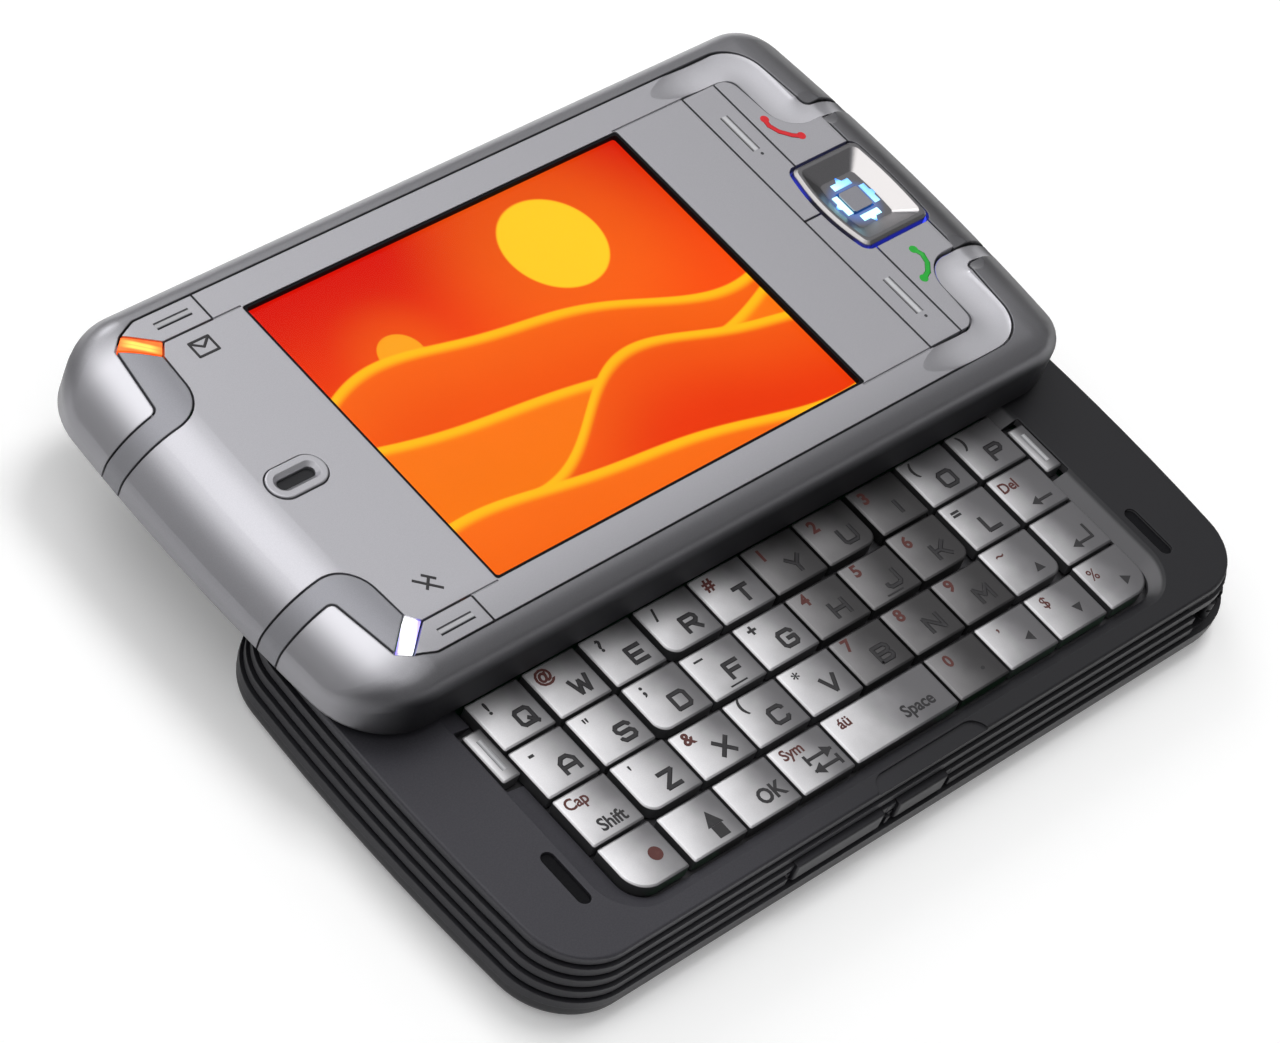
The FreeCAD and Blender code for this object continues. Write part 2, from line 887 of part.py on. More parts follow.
def cover_block(grown, low, high):
    half_x = battery_length / 2 + battery_clearance + bay_wall + cover_margin + grown
    half_y = battery_width / 2 + battery_clearance + bay_wall + cover_margin + grown
    return rounded_box(battery_x - half_x, battery_x + half_x, -half_y, half_y,
                       low, high, cover_corner + grown)


def stylus_tube():
    end_x = phone_length / 2 - cavity_inset - case_clearance
    tube = Part.makeCylinder(stylus_radius + stylus_clearance + stylus_tube_wall,
                             stylus_tube_length, Vector(end_x - stylus_tube_length, stylus_y,
                                                        stylus_z), Vector(1, 0, 0))
    foot_half = stylus_tube_wall
    foot = box(end_x - stylus_tube_length, end_x, stylus_y - foot_half, stylus_y + foot_half,
               shell_floor - overlap, stylus_z - stylus_radius)
    return tube.fuse(foot)


def make_lower_shell():
    tray = outline_slab(shell_inset, 0, shell_height)
    tray = tray.makeFillet(shell_bottom_round, edges_at(tray, 0))
    tray = tray.cut(outline_slab(shell_wall, shell_floor, shell_height + overcut))
    lip_outer = cavity_inset + case_clearance
    lip_top = shell_height + shell_lip_height
    lip = outline_slab(lip_outer, shell_floor - overlap, lip_top)
    lip = lip.cut(outline_slab(lip_outer + shell_lip_wall, shell_floor - 2 * overlap,
                                lip_top + overcut))
    bay = battery_block(battery_clearance + bay_wall, shell_floor - overlap, bay_top)
    tube = stylus_tube().common(outline_slab(cavity_inset + case_clearance, 0, deck_bottom))
    camera_collar = cylinder(camera_x, camera_y, shell_floor - overlap, shell_height,
                             camera_barrel_radius + camera_clearance + shell_lip_wall)
    body = tray.fuse([lip, bay, tube, camera_collar])
    cutters = [battery_block(battery_clearance, -overcut, bay_ceiling_bottom)]
    cutters.append(cover_block(cover_gap, -overcut, cover_thickness + case_clearance))
    cutters.append(stylus_bore(stylus_radius + stylus_clearance))
    cutters.append(cylinder(camera_x, camera_y, -overcut, shell_height + overcut,
                            camera_barrel_radius + camera_clearance))
    for x, y in screw_places():
        clear = screw_radius + screw_bore_clearance
        cutters.append(cylinder(x, y, -overcut, shell_floor + overcut, clear))
        cutters.append(cylinder(x, y, -overcut, screw_head_height,
                                screw_head_radius + screw_head_clearance))
    for i in range(speaker_slot_count):
        x = speaker_x + (i - (speaker_slot_count - 1) / 2) * speaker_slot_pitch
        cutters.append(pill(x, speaker_y, speaker_slot_length, speaker_slot_width,
                            -overcut, shell_floor + overcut, turned=True))
    gap = side_key_gap
    for x, length in ((rocker_x, rocker_length), (shutter_x, shutter_length)):
        half = length / 2 + gap + side_key_flange
        cutters.append(box(x - half, x + half, -phone_width / 2 + cavity_inset - overlap,
                           -phone_width / 2 + cavity_inset + shell_lip_wall + side_window_overrun,
                           shell_height, lip_top + overcut))
    cutters.append(port_opening(port_sheet + port_clearance))
    eye = strap_wall()
    cutters.append(prism(grow(Part.Wire(Part.__sortEdges__(edges_at(eye, shell_height))),
                              case_clearance), shell_height, lip_top + overcut))
    body = body.cut(cutters)
    save("lower_shell", body.removeSplitter())


def make_battery():
    save("battery", battery_block(0, battery_bottom, battery_top))


def make_battery_cover():
    cover = cover_block(0, 0, cover_thickness)
    grip_x = battery_x + battery_length / 2
    lift = cover_grip_radius - cover_grip_depth
    grip = Part.makeSphere(cover_grip_radius, Vector(grip_x, 0, -lift))
    save("battery_cover", cover.cut(grip))


# ---- boards, key mat and parts on the boards ----
def make_main_board():
    board = outline_slab(board_inset, board_bottom, board_top)
    shield_high = board_bottom
    shield_low = shield_high - shield_height
    shields = []
    right_end = battery_x - battery_length / 2 - battery_clearance - bay_wall - shield_margin
    shields.append(box(right_end - shield_length, right_end, -shield_width / 2,
                       shield_width / 2, shield_low, shield_high))
    board = board.fuse(shields)
    cutters = []
    for x, y in screw_places():
        cutters.append(cylinder(x, y, board_bottom - overcut, board_top + overcut,
                                boss_radius + boss_gap))
    low_y = -phone_width / 2 + cavity_inset + side_key_depth + side_key_travel + side_board_gap
    cutters.append(box(rocker_x - rocker_length, shutter_x + shutter_length, -phone_width,
                       low_y, board_bottom - overcut, board_top + overcut))
    eye = strap_length / 2 + housing_wall + boss_gap
    cutters.append(box(strap_x - eye, strap_x + eye, -phone_width,
                       -phone_width / 2 + strap_depth + housing_wall + boss_gap,
                       board_bottom - overcut, board_top + overcut))
    tube_low_y = stylus_y - stylus_radius - stylus_clearance - stylus_tube_wall
    cutters.append(box(stylus_start_x - stylus_end_gap, phone_length, tube_low_y - boss_gap,
                       phone_width, board_bottom - overcut, board_top + overcut))
    save("main_board", board.cut(cutters).removeSplitter())


def make_key_mat():
    margin = window_gap + wing_key_width
    mat = rounded_box(keyboard_left - margin, keyboard_right + margin, keyboard_bottom,
                      keyboard_top, board_top, mat_top, key_corner)
    save("key_mat", mat)


def make_camera():
    window_top = camera_window_recess + camera_window_thickness
    barrel = cylinder(camera_x, camera_y, camera_window_recess, shell_height + camera_barrel_rise,
                      camera_barrel_radius)
    barrel = barrel.cut(cylinder(camera_x, camera_y, 0, window_top, camera_window_radius))
    half = camera_body_size / 2
    high = board_bottom
    body = box(camera_x - half, camera_x + half, camera_y - half, camera_y + half,
               high - camera_body_height, high)
    tube = cylinder(camera_x, camera_y, shell_height, high - overcut,
                    camera_barrel_radius - camera_neck_step)
    save("camera_module", barrel.fuse([body, tube]).removeSplitter())
    glass = cylinder(camera_x, camera_y, camera_window_recess, window_top, camera_window_radius)
    save("camera_window", glass)


def make_speaker():
    half_x = speaker_length / 2
    half_y = speaker_width / 2
    low = shell_floor
    save("loudspeaker", rounded_box(speaker_x - half_x, speaker_x + half_x, speaker_y - half_y,
                                    speaker_y + half_y, low, low + speaker_height,
                                    half_y / 2))


def make_port():
    x_out = phone_length / 2 - deck_inset
    x_in = phone_length / 2 - port_depth
    z = port_z()
    half_y = port_width / 2
    half_z = port_height / 2
    shell = box(x_in, x_out, port_y - half_y - port_sheet, port_y + half_y + port_sheet,
                z - half_z - port_sheet, z + half_z + port_sheet)
    hollow = box(x_in + port_sheet, x_out + overcut, port_y - half_y, port_y + half_y,
                 z - half_z, z + half_z)
    tongue = box(x_in, x_out - port_tongue_setback, port_y - half_y + port_tongue_side_gap,
                 port_y + half_y - port_tongue_side_gap, z - port_tongue_thickness / 2,
                 z + port_tongue_thickness / 2)
    save("data_port", shell.cut(hollow).fuse(tongue).removeSplitter())


def make_screws():
    screws = []
    for x, y in screw_places():
        head = cylinder(x, y, screw_head_sink, screw_head_height,
                        screw_head_radius)
        shank = cylinder(x, y, screw_head_height, deck_bottom - screw_tip_gap, screw_radius)
        screws.append(head.fuse(shank).removeSplitter())
    save("case_screws", Part.makeCompound(screws))


# ---- stylus ----
def make_stylus():
    end_x = phone_length / 2
    start_x = stylus_start_x
    profile = [
        Vector(start_x, 0, 0),
        Vector(start_x, 0, stylus_tip_radius),
        Vector(start_x + stylus_tip_length, 0, stylus_radius),
        Vector(end_x - stylus_head_length, 0, stylus_radius),
        Vector(end_x - stylus_head_length + stylus_head_step, 0, stylus_head_radius),
        Vector(end_x, 0, stylus_head_radius),
        Vector(end_x, 0, 0),
        Vector(start_x, 0, 0),
    ]
    face = Part.Face(Part.makePolygon(profile))
    body = face.revolve(Vector(0, 0, 0), Vector(1, 0, 0), 360)
    body.translate(Vector(0, stylus_y, stylus_z))
    body = body.common(outline_slab(stylus_end_inset, 0, deck_top))
    save("stylus", body)


# ---- side keys in the front wall ----
def side_key(x, length):
    wall_y = -phone_width / 2
    front = wall_y + side_well_depth - side_key_proud
    back = wall_y + cavity_inset + side_key_travel
    low = side_key_z - side_key_height / 2
    high = side_key_z + side_key_height / 2
    half = length / 2
    cap = box(x - half, x + half, front, back, low, high)
    rim = [e for e in cap.Edges if e.BoundBox.YMax < front + 1e-4]
    cap = cap.makeFillet(side_key_round, rim)
    flange_half = half + side_key_flange
    flange = box(x - flange_half, x + flange_half, back - overlap / 2, back + side_key_flange_depth,
                 low, high)
    return cap.fuse(flange).removeSplitter()


def make_side_keys():
    save("volume_rocker", side_key(rocker_x, rocker_length))
    save("shutter_key", side_key(shutter_x, shutter_length))


# ---- slide mechanism ----
def runner(side):
    neck = box(side * runner_x - runner_neck_width / 2, side * runner_x + runner_neck_width / 2,
               runner_low_y, runner_high_y, deck_top - plate_thickness / 2, head_bottom + overlap)
    head = box(side * runner_x - runner_head_width / 2, side * runner_x + runner_head_width / 2,
               runner_low_y, runner_high_y, head_bottom, head_top)
    return neck.fuse(head)


def make_slide_plate():
    plate = rounded_box(-plate_half_length, plate_half_length, plate_low_y, plate_high_y,
                        plate_bottom, deck_top, plate_corner)
    middle_y = (plate_low_y + plate_high_y) / 2
    windows = []
    for centre in (-plate_window_x, plate_window_x):
        windows.append(pill(centre, middle_y, plate_window_length, plate_window_width,
                            plate_bottom - overcut, deck_top + overcut))
    for side in (1, -1):
        windows.append(cylinder(side * plate_screw_x, middle_y, plate_bottom - overcut,
                                deck_top + overcut, screw_radius + screw_bore_clearance))
    plate = plate.cut(windows)
    save("slide_plate", joined([plate, runner(1), runner(-1)]))


def rail(side):
    x = side * runner_x
    outer = box(x - rail_half_width, x + rail_half_width, rail_low_y, rail_high_y,
                rail_bottom, rail_top)
    inner_half = rail_half_width - rail_sheet
    channel = box(x - inner_half, x + inner_half, rail_low_y - overcut, rail_high_y + overcut,
                  rail_bottom + rail_sheet, rail_top - rail_sheet)
    slot = box(x - rail_slot_half, x + rail_slot_half, rail_low_y - overcut, rail_high_y + overcut,
               rail_bottom - overcut, rail_bottom + rail_sheet + overlap)
    return outer.cut([channel, slot])


def make_slide_rails():
    save_display("slide_rails", Part.makeCompound([rail(1), rail(-1)]))


# ---- display half: outer form and the regions of its face ----
def end_fall(inset):
    # What is cut away above both ends, where the face falls in an arc towards the end wall.
    radius = end_fall_radius - inset
    start = half_length - end_fall_length
    centre_z = face_z - end_fall_radius
    finish = half_length - inset + 2 * overlap
    finish_z = centre_z + math.sqrt(radius ** 2 - (finish - start) ** 2)
    middle = math.asin((finish - start) / radius) / 2
    top = face_z + overcut
    first = Vector(start, 0, centre_z + radius)
    bend = Vector(start + radius * math.sin(middle), 0, centre_z + radius * math.cos(middle))
    last = Vector(finish, 0, finish_z)
    above = [Part.LineSegment(last, Vector(finish, 0, top)).toShape(),
             Part.LineSegment(Vector(finish, 0, top), Vector(start, 0, top)).toShape(),
             Part.LineSegment(Vector(start, 0, top), first).toShape()]
    profile = Part.Wire([Part.Arc(first, bend, last).toShape()] + above)
    turn = math.degrees(phone_width / end_arc_radius)
    axis = Vector(half_length - end_arc_radius, 0, 0)
    waste = Part.Face(profile).revolve(axis, Vector(0, 0, 1), 2 * turn)
    waste.rotate(axis, Vector(0, 0, 1), -turn)
    return [waste, waste.mirror(Vector(0, 0, 0), Vector(1, 0, 0))]


def display_form(inset):
    body = outline_slab(inset, rim_bottom, face_z - inset)
    body = body.cut(end_fall(inset))
    upper = [edge for edge in body.Edges
             if edge.BoundBox.ZMin > rim_bottom + 0.5 and on_outline(edge, inset)]
    body = body.makeFillet(roll_radius - inset, upper)
    if inset == 0:
        body = body.makeFillet(display_edge_round, edges_at(body, rim_bottom))
    return body


def face_region():
    far = phone_length
    upper = [
        (-far, strip_inner_y, 0),
        (strip_inner_x, strip_inner_y, strip_inner_radius),
        (lamp_inner_x, lamp_inner_y, 0),
        (lamp_join_x, band_line_y, 0),
        (top_key_right_x, band_line_y, 0),
        (top_key_right_x, groove_y, 0),
        (accent_outer_x - accent_lean_in, groove_y, accent_radius),
        (accent_outer_x + accent_lean_out, tail_outer_y, tail_radius),
        (far, tail_outer_y, 0),
        (far, strip_inner_y, 0),
        (cluster_right_x - cluster_run_in, strip_inner_y, 0),
    ]
    return rounded_polygon(upper + flip_corners(upper))


def strip_region():
    far = phone_length
    return rounded_polygon([
        (-far, strip_inner_y, 0),
        (strip_inner_x, strip_inner_y, strip_inner_radius),
        (lamp_inner_x, lamp_inner_y, 0),
        (lamp_outer_x, lamp_outer_y, 0),
        (strip_outer_x, strip_outer_y, strip_outer_radius),
        (-far, strip_outer_y, 0),
    ])


def lamp_region():
    return rounded_polygon([
        (lamp_outer_x, lamp_outer_y, 0),
        (lamp_inner_x, lamp_inner_y, 0),
        (lamp_join_x, band_line_y, 0),
        (top_key_left_x, lamp_key_y, 0),
    ])


def top_key_region():
    return rounded_polygon([
        (top_key_left_x, lamp_key_y, 0),
        (lamp_join_x, band_line_y, 0),
        (top_key_right_x, band_line_y, 0),
        (top_key_right_x, groove_y, 0),
        (top_key_left_x + top_key_slant, groove_y, top_key_corner),
    ])


def cluster_region():
    upper = [
        (cluster_left_x, band_line_y, cluster_end_corner),
        (cluster_corner_x, band_line_y, cluster_corner_radius),
        (cluster_waist_x, strip_inner_y, cluster_waist_radius),
        (cluster_right_x, strip_inner_y, cluster_end_corner),
    ]
    return rounded_polygon(upper + flip_corners(upper))


def nav_outline(inset, height):
    # Four-sided outline whose left and right sides bow outwards.
    side = nav_half_width - inset
    share = side / nav_half_width
    left = nav_left_x + inset
    right = nav_right_x - inset
    left_corner = left + nav_left_bow * share
    right_corner = right - nav_right_bow * share
    corner = nav_corner * share
    return rounded_polygon([
        (left, 0, nav_left_bow_radius * share),
        (left_corner, -side, corner),
        (right_corner, -side, corner),
        (right, 0, nav_right_bow_radius * share),
        (right_corner, side, corner),
        (left_corner, side, corner),
    ], height)


def nav_region():
    return nav_outline(0, 0)


def cut_prism(region, grown, low, high=None):
    top = face_z + 2 * overcut if high is None else high
    wire = grow(region, grown) if grown else region
    return prism(wire, low, top)


def skin_shell():
    # The outer skin of the rolled edge, one skin thickness deep.
    return display_form(0).cut(display_form(skin_thickness))


def skin_piece(region):
    # A face plate of this outline that follows the rolled edge down to the bottom.
    shape = cut_prism(region, -skin_gap / 2, rim_bottom - overcut)
    plate = display_form(0).common(cut_prism(region, -skin_gap / 2, cover_bottom))
    wrap = skin_shell().common(shape)
    return plate.fuse(wrap).removeSplitter()


def largest(shape):
    return max(shape.Solids, key=lambda solid: solid.Volume)


def nav_opening_grown():
    return nav_lamp_gap * 2 + nav_lamp_width


def scoop_floor(x):
    # Height of the scoop's floor: it sinks in towards the corner and follows the falling end.
    past = max(x - (half_length - end_fall_length), 0)
    reach = min(past, corner_scoop_runout)
    level = math.sqrt(end_fall_radius ** 2 - reach ** 2)
    fall = end_fall_radius - level + (past - reach) * reach / level
    share = min((x - scoop_start_x) / corner_scoop_fade, 1)
    ease = share * share * (3 - 2 * share)
    depth = (corner_scoop_depth + corner_scoop_lift) * ease - corner_scoop_lift
    return face_z - fall - depth


def scoop_route():
    # Line that the scoop follows: along the side band, round the corner, out over the end.
    far = half_length + overcut
    side_radius = (accent_radius + cluster_corner_radius) / 2
    tail_bend_radius = (tail_radius + cluster_waist_radius) / 2
    slant = math.sqrt(0.5)
    first_bend = Vector(scoop_column_x - side_radius, scoop_side_y - side_radius, 0)
    second_bend = Vector(scoop_column_x + tail_bend_radius, scoop_tail_y + tail_bend_radius, 0)
    start = Vector(scoop_start_x, scoop_side_y, 0)
    bend_in = first_bend + Vector(0, side_radius, 0)
    bend_middle = first_bend + Vector(slant, slant, 0) * side_radius
    bend_out = first_bend + Vector(side_radius, 0, 0)
    tail_in = second_bend + Vector(-tail_bend_radius, 0, 0)
    tail_middle = second_bend - Vector(slant, slant, 0) * tail_bend_radius
    tail_out = second_bend + Vector(0, -tail_bend_radius, 0)
    finish = Vector(far, scoop_tail_y, 0)
    flat = Part.Wire([
        Part.LineSegment(start, bend_in).toShape(),
        Part.Arc(bend_in, bend_middle, bend_out).toShape(),
        Part.LineSegment(bend_out, tail_in).toShape(),
        Part.Arc(tail_in, tail_middle, tail_out).toShape(),
        Part.LineSegment(tail_out, finish).toShape(),
    ])
    places = flat.discretize(Number=scoop_route_points)
    lifted = [Vector(place.x, place.y, scoop_floor(place.x)) for place in places]
    curve = Part.BSplineCurve()
    curve.interpolate(lifted)
    return Part.Wire([curve.toShape()])


def corner_scoop():
    # Round-floored trough between the keys and the groove, swept along its route.
    route = scoop_route()
    start = Vector(scoop_start_x, scoop_side_y, scoop_floor(scoop_start_x))
    half = corner_scoop_half_width
    rise = corner_scoop_radius - math.sqrt(corner_scoop_radius ** 2 - half ** 2)
    low = start + Vector(0, -half, rise)
    high = start + Vector(0, half, rise)
    low_top = start + Vector(0, -half, corner_scoop_height)
    high_top = start + Vector(0, half, corner_scoop_height)
    section = Part.Wire([
        Part.Arc(low, start, high).toShape(),
        Part.LineSegment(high, high_top).toShape(),
        Part.LineSegment(high_top, low_top).toShape(),
        Part.LineSegment(low_top, low).toShape(),
    ])
    sweep = Part.BRepOffsetAPI.MakePipeShell(route)
    sweep.setBiNormalMode(Vector(0, 0, 1))
    sweep.add(section)
    sweep.build()
    sweep.makeSolid()
    return sweep.shape()


def thumb_dip():
    # Round dip where the scoop runs out over the end.
    height = face_z + thumb_dip_radius - thumb_dip_depth
    return Part.makeSphere(thumb_dip_radius, Vector(thumb_dip_x, thumb_dip_y, height))


def earpiece_pill(grown, z0, z1):
    return pill(earpiece_x, 0, earpiece_length + 2 * grown, earpiece_width + 2 * grown, z0, z1)


def make_front_cover():
    cover = skin_piece(face_region())
    low = cover_bottom - overcut
    cutters = [cut_prism(cluster_region(), front_key_gap / 2, low)]
    cutters.append(cut_prism(nav_region(), nav_opening_grown(), low))
    cutters.append(screen_opening(0, low, face_z + overcut))
    pocket_margin = touch_margin + case_clearance
    cutters.append(screen_opening(pocket_margin, low, touch_top + case_clearance))
    cutters.append(earpiece_pill(earpiece_gap, low, face_z + overcut))
    for side in (1, -1):
        y = side * band_line_y
        engrave_low = face_z - engrave_depth
        for start, end in ((top_key_right_x, screen_x - screen_half_length),
                           (screen_x + screen_half_length, cluster_left_x)):
            cutters.append(box(start - engrave_overrun, end, y - engrave_width / 2,
                               y + engrave_width / 2, engrave_low, face_z + overcut))
    cover = cover.cut(cutters)
    cover = cover.cut(both_sides(corner_scoop()))
    cover = cover.cut(both_sides(thumb_dip()))
    save_display("front_cover", cover.removeSplitter())


def screen_opening(grown, low, high):
    half_x = screen_half_length + grown
    half_y = screen_half_width + grown
    return rounded_box(screen_x - half_x, screen_x + half_x, -half_y, half_y, low, high,
                       screen_corner + max(grown, 0))


def make_corner_strips():
    strip = skin_piece(strip_region())
    save_display("corner_strips", Part.makeCompound(both_sides(largest(strip))))


def make_lamps():
    region = lamp_region()
    lamp = display_form(0).common(cut_prism(region, -skin_gap / 2, cover_bottom))
    save_display("status_lamp_left", lamp)
    save_display("status_lamp_right", mirror_y(lamp))


def make_side_rim():
    rim = display_form(0)
    opening_low = shelf_bottom - overcut
    cutters = [outline_slab(rim_wall, rim_bottom - overcut, shelf_bottom).cut(end_fall(rim_wall))]
    cutters.append(rounded_box(rim_opening_left, rim_opening_right, -rim_opening_half_width,
                               rim_opening_half_width, opening_low, face_z + overcut,
                               rim_opening_corner))
    cutters.append(outline_slab(back_cover_inset - case_clearance, rim_bottom - overcut,
                                back_cover_top))
    inner_form = display_form(skin_thickness + skin_clearance)
    half_gap = skin_gap / 2
    regions = [face_region(), strip_region(), mirrored_wire(strip_region())]
    for region in regions:
        cutters.append(cut_prism(region, half_gap, shelf_top))
        wrap = cut_prism(region, half_gap, rim_bottom - 2 * overcut).cut(inner_form)
        cutters.append(wrap.common(box(-phone_length, phone_length, -phone_width, phone_width,
                                       rim_bottom - 2 * overcut, shelf_top + 0.5)))
    for region in (lamp_region(), top_key_region()):
        low = shelf_top if region.BoundBox.XMax < top_key_right_x - 1 else shelf_bottom - overcut
        cutters += both_sides(cut_prism(region, half_gap, low))
    cutters.append(cut_prism(cluster_region(), front_key_gap / 2, opening_low))
    cutters.append(cut_prism(nav_region(), nav_opening_grown(), opening_low))
    cutters += both_sides(thumb_dip())
    rim = rim.cut(cutters)
    save_display("side_rim", rim.removeSplitter())


def mirrored_wire(wire):
    return Part.Wire(Part.__sortEdges__(mirror_y(wire).Edges))


# ---- keys in the face ----
def front_key(region_shape, low=None):
    bottom = front_key_bottom if low is None else low
    block = display_form(0).common(region_shape)
    return block.common(box(-phone_length, phone_length, -phone_width, phone_width,
                            bottom, face_z + overcut))


def make_top_keys():
    key = front_key(cut_prism(top_key_region(), -front_key_gap / 2, front_key_bottom))
    save_display("top_key_left", key)
    save_display("top_key_right", mirror_y(key))


def cluster_keys():
    field = cut_prism(cluster_region(), -front_key_gap / 2, front_key_bottom)
    hole = cut_prism(nav_region(), nav_opening_grown(), front_key_bottom - overcut)
    field = field.cut(hole)
    half_gap = front_key_gap / 2
    far = phone_length
    high = face_z + 3 * overcut
    soft_zone = box(cluster_left_x, soft_key_right_x - half_gap, half_gap, far,
                    front_key_bottom - overcut, high)
    end_zone = box(soft_key_right_x + half_gap, far, half_gap, far, front_key_bottom - overcut, high)
    return field.common(soft_zone), field.common(end_zone)


def make_cluster_keys():
    soft, end = cluster_keys()
    soft = front_key(soft)
    end = largest(front_key(end))
    save_display("soft_key_left", soft)
    save_display("soft_key_right", mirror_y(soft))
    save_display("end_key", end)
    save_display("call_key", mirror_y(end))


def make_nav():
    top = face_z + nav_rise
    body = prism(nav_region(), front_key_bottom, top)
    body = body.makeChamfer(nav_edge_chamfer, edges_at(body, top))
    rim_wire = nav_outline(nav_dish_margin, top + 0.01)
    floor_wire = nav_outline(nav_dish_margin + nav_dish_slope, top - nav_dish_depth)
    dish = Part.makeLoft([floor_wire, rim_wire], True, True)
    centre_x = (nav_left_x + nav_right_x) / 2
    half = select_half_size + select_gap
    well = box(centre_x - half, centre_x + half, -half, half, front_key_bottom - overcut, top)
    body = body.cut([dish, well])
    save_display("nav_key", body)
    size = select_half_size
    select_top = top - nav_dish_depth + select_rise
    select = rounded_box(centre_x - size, centre_x + size, -size, size, front_key_bottom,
                         select_top, select_corner)
    save_display("select_key", select)
    inner_wire = grow(nav_region(), nav_lamp_gap)
    outer_wire = grow(nav_region(), nav_lamp_gap + nav_lamp_width)
    lamp_top = face_z - nav_lamp_drop
    lamp = prism(outer_wire, lamp_top - nav_lamp_height, lamp_top)
    lamp = lamp.cut(prism(inner_wire, lamp_top - nav_lamp_height - overcut, lamp_top + 1))
    save_display("nav_lamp_ring", lamp)


# ---- earpiece ----
def make_earpiece():
    ring = earpiece_pill(0, cover_bottom, face_z + earpiece_rise)
    hole = earpiece_pill(-earpiece_ring_wall, cover_bottom - overcut, face_z + overcut)
    ring = ring.makeFillet(earpiece_edge_round, edges_at(ring, face_z + earpiece_rise))
    ring = ring.cut(hole)
    reach = earpiece_width / 2 - earpiece_ring_wall + overlap
    mouth = [edge for edge in edges_at(ring, face_z + earpiece_rise)
             if edge.BoundBox.YMax < reach and edge.BoundBox.YMin > -reach]
    ring = ring.makeChamfer(earpiece_funnel, mouth)
    save_display("earpiece_ring", ring)
    high = face_z - earpiece_mesh_drop
    mesh = earpiece_pill(-earpiece_ring_wall - case_clearance, cover_bottom - overlap, high)
    capsule_top = cover_bottom - case_clearance
    capsule = rounded_box(earpiece_x - receiver_length / 2, earpiece_x + receiver_length / 2,
                          -receiver_width / 2, receiver_width / 2,
                          capsule_top - receiver_height, capsule_top,
                          receiver_corner)
    save_display("earpiece_receiver", mesh.fuse(capsule).removeSplitter())


# ---- screen stack, frame and boards ----
def make_screen():
    touch_bottom = lcd_top
    save_display("touch_panel", screen_opening(touch_margin, touch_bottom, touch_top))
    save_display("lcd_module", screen_opening(lcd_margin, frame_top, lcd_top))
    gasket = screen_opening(-gasket_gap, touch_top, face_z - gasket_top_drop)
    gasket = gasket.cut(screen_opening(-gasket_gap - gasket_wall, touch_top - overcut,
                                       face_z + overcut))
    save_display("screen_gasket", gasket)


def make_mid_frame():
    inset = rim_wall + case_clearance
    plate = outline_slab(inset, frame_bottom, frame_top)
    wall_top = shelf_bottom - case_clearance
    wall = outline_slab(inset, frame_bottom, wall_top)
    wall = wall.cut(outline_slab(inset + frame_wall, frame_bottom - overcut, wall_top + overcut))
    supports = []
    half = support_thickness / 2
    low = frame_top - overlap
    support_end = band_line_y - support_setback
    for x in (cluster_left_x + support_setback, cluster_right_x - support_setback):
        supports.append(box(x - half, x + half, -support_end, support_end, low,
                            front_board_bottom))
    left_support = top_key_left_x + support_setback - half
    for side in (1, -1):
        y = side * (band_line_y - support_thickness)
        supports.append(box(left_support, left_support + side_support_length, y - half, y + half,
                            low, front_board_bottom))
    capsule_bottom = cover_bottom - case_clearance - receiver_height
    capsule_half = earpiece_width / 2
    supports.append(box(earpiece_x - capsule_half, earpiece_x + capsule_half, -capsule_half,
                        capsule_half, low, capsule_bottom))
    frame = plate.fuse([wall] + supports)
    keys = both_sides(cut_prism(top_key_region(), front_key_gap, front_key_bottom - overcut))
    frame = frame.cut(keys + end_fall(inset))
    save_display("mid_frame", frame.removeSplitter())


def make_front_boards():
    clear = frame_wall + rim_wall + 2 * case_clearance
    field = outline_slab(clear, front_board_bottom, dome_top)
    field = field.cut(end_fall(rim_wall + case_clearance))
    right = screen_x + screen_half_length + touch_margin + front_board_gap
    left = screen_x - screen_half_length - touch_margin - front_board_gap
    right_board = field.common(box(right, phone_length, -phone_width, phone_width, 0, phone_width))
    left_board = field.common(box(-phone_length, left, -phone_width, phone_width, 0, phone_width))
    half_x = receiver_length / 2 + receiver_gap
    half_y = receiver_width / 2 + receiver_gap
    left_board = left_board.cut(box(earpiece_x - half_x, earpiece_x + half_x, -half_y, half_y,
                                    0, phone_width))
    save_display("face_key_boards", Part.makeCompound([right_board, left_board]))


def make_back_cover():
    cover = outline_slab(back_cover_inset, display_bottom, back_cover_top)
    lip_inset = rim_wall + case_clearance
    lip = outline_slab(lip_inset, back_cover_top - overlap, back_cover_top + back_lip_height)
    lip = lip.cut(outline_slab(lip_inset + back_lip_wall, display_bottom,
                               back_cover_top + back_lip_height + overcut))
    cover = cover.fuse(lip)
    cutters = []
    for side in (1, -1):
        x = side * runner_x
        cutters.append(box(x - rail_slot_half, x + rail_slot_half, rail_low_y, rail_high_y,
                           display_bottom - overcut, back_cover_top + overcut))
        reach = rail_half_width + rail_recess_gap
        cutters.append(box(x - reach, x + reach, rail_low_y - rail_recess_gap,
                           rail_high_y + rail_recess_gap, back_cover_top,
                           back_cover_top + back_lip_height + overcut))
    for sx in (1, -1):
        for sy in (1, -1):
            x = sx * display_screw_x
            y = sy * display_screw_y
            cutters.append(cylinder(x, y, display_bottom - overcut, back_cover_top + overcut,
                                    screw_radius + screw_bore_clearance))
            cutters.append(cylinder(x, y, display_bottom - overcut,
                                    display_bottom + display_screw_recess,
                                    screw_head_radius + screw_head_clearance))
    save_display("back_cover", cover.cut(cutters).removeSplitter())


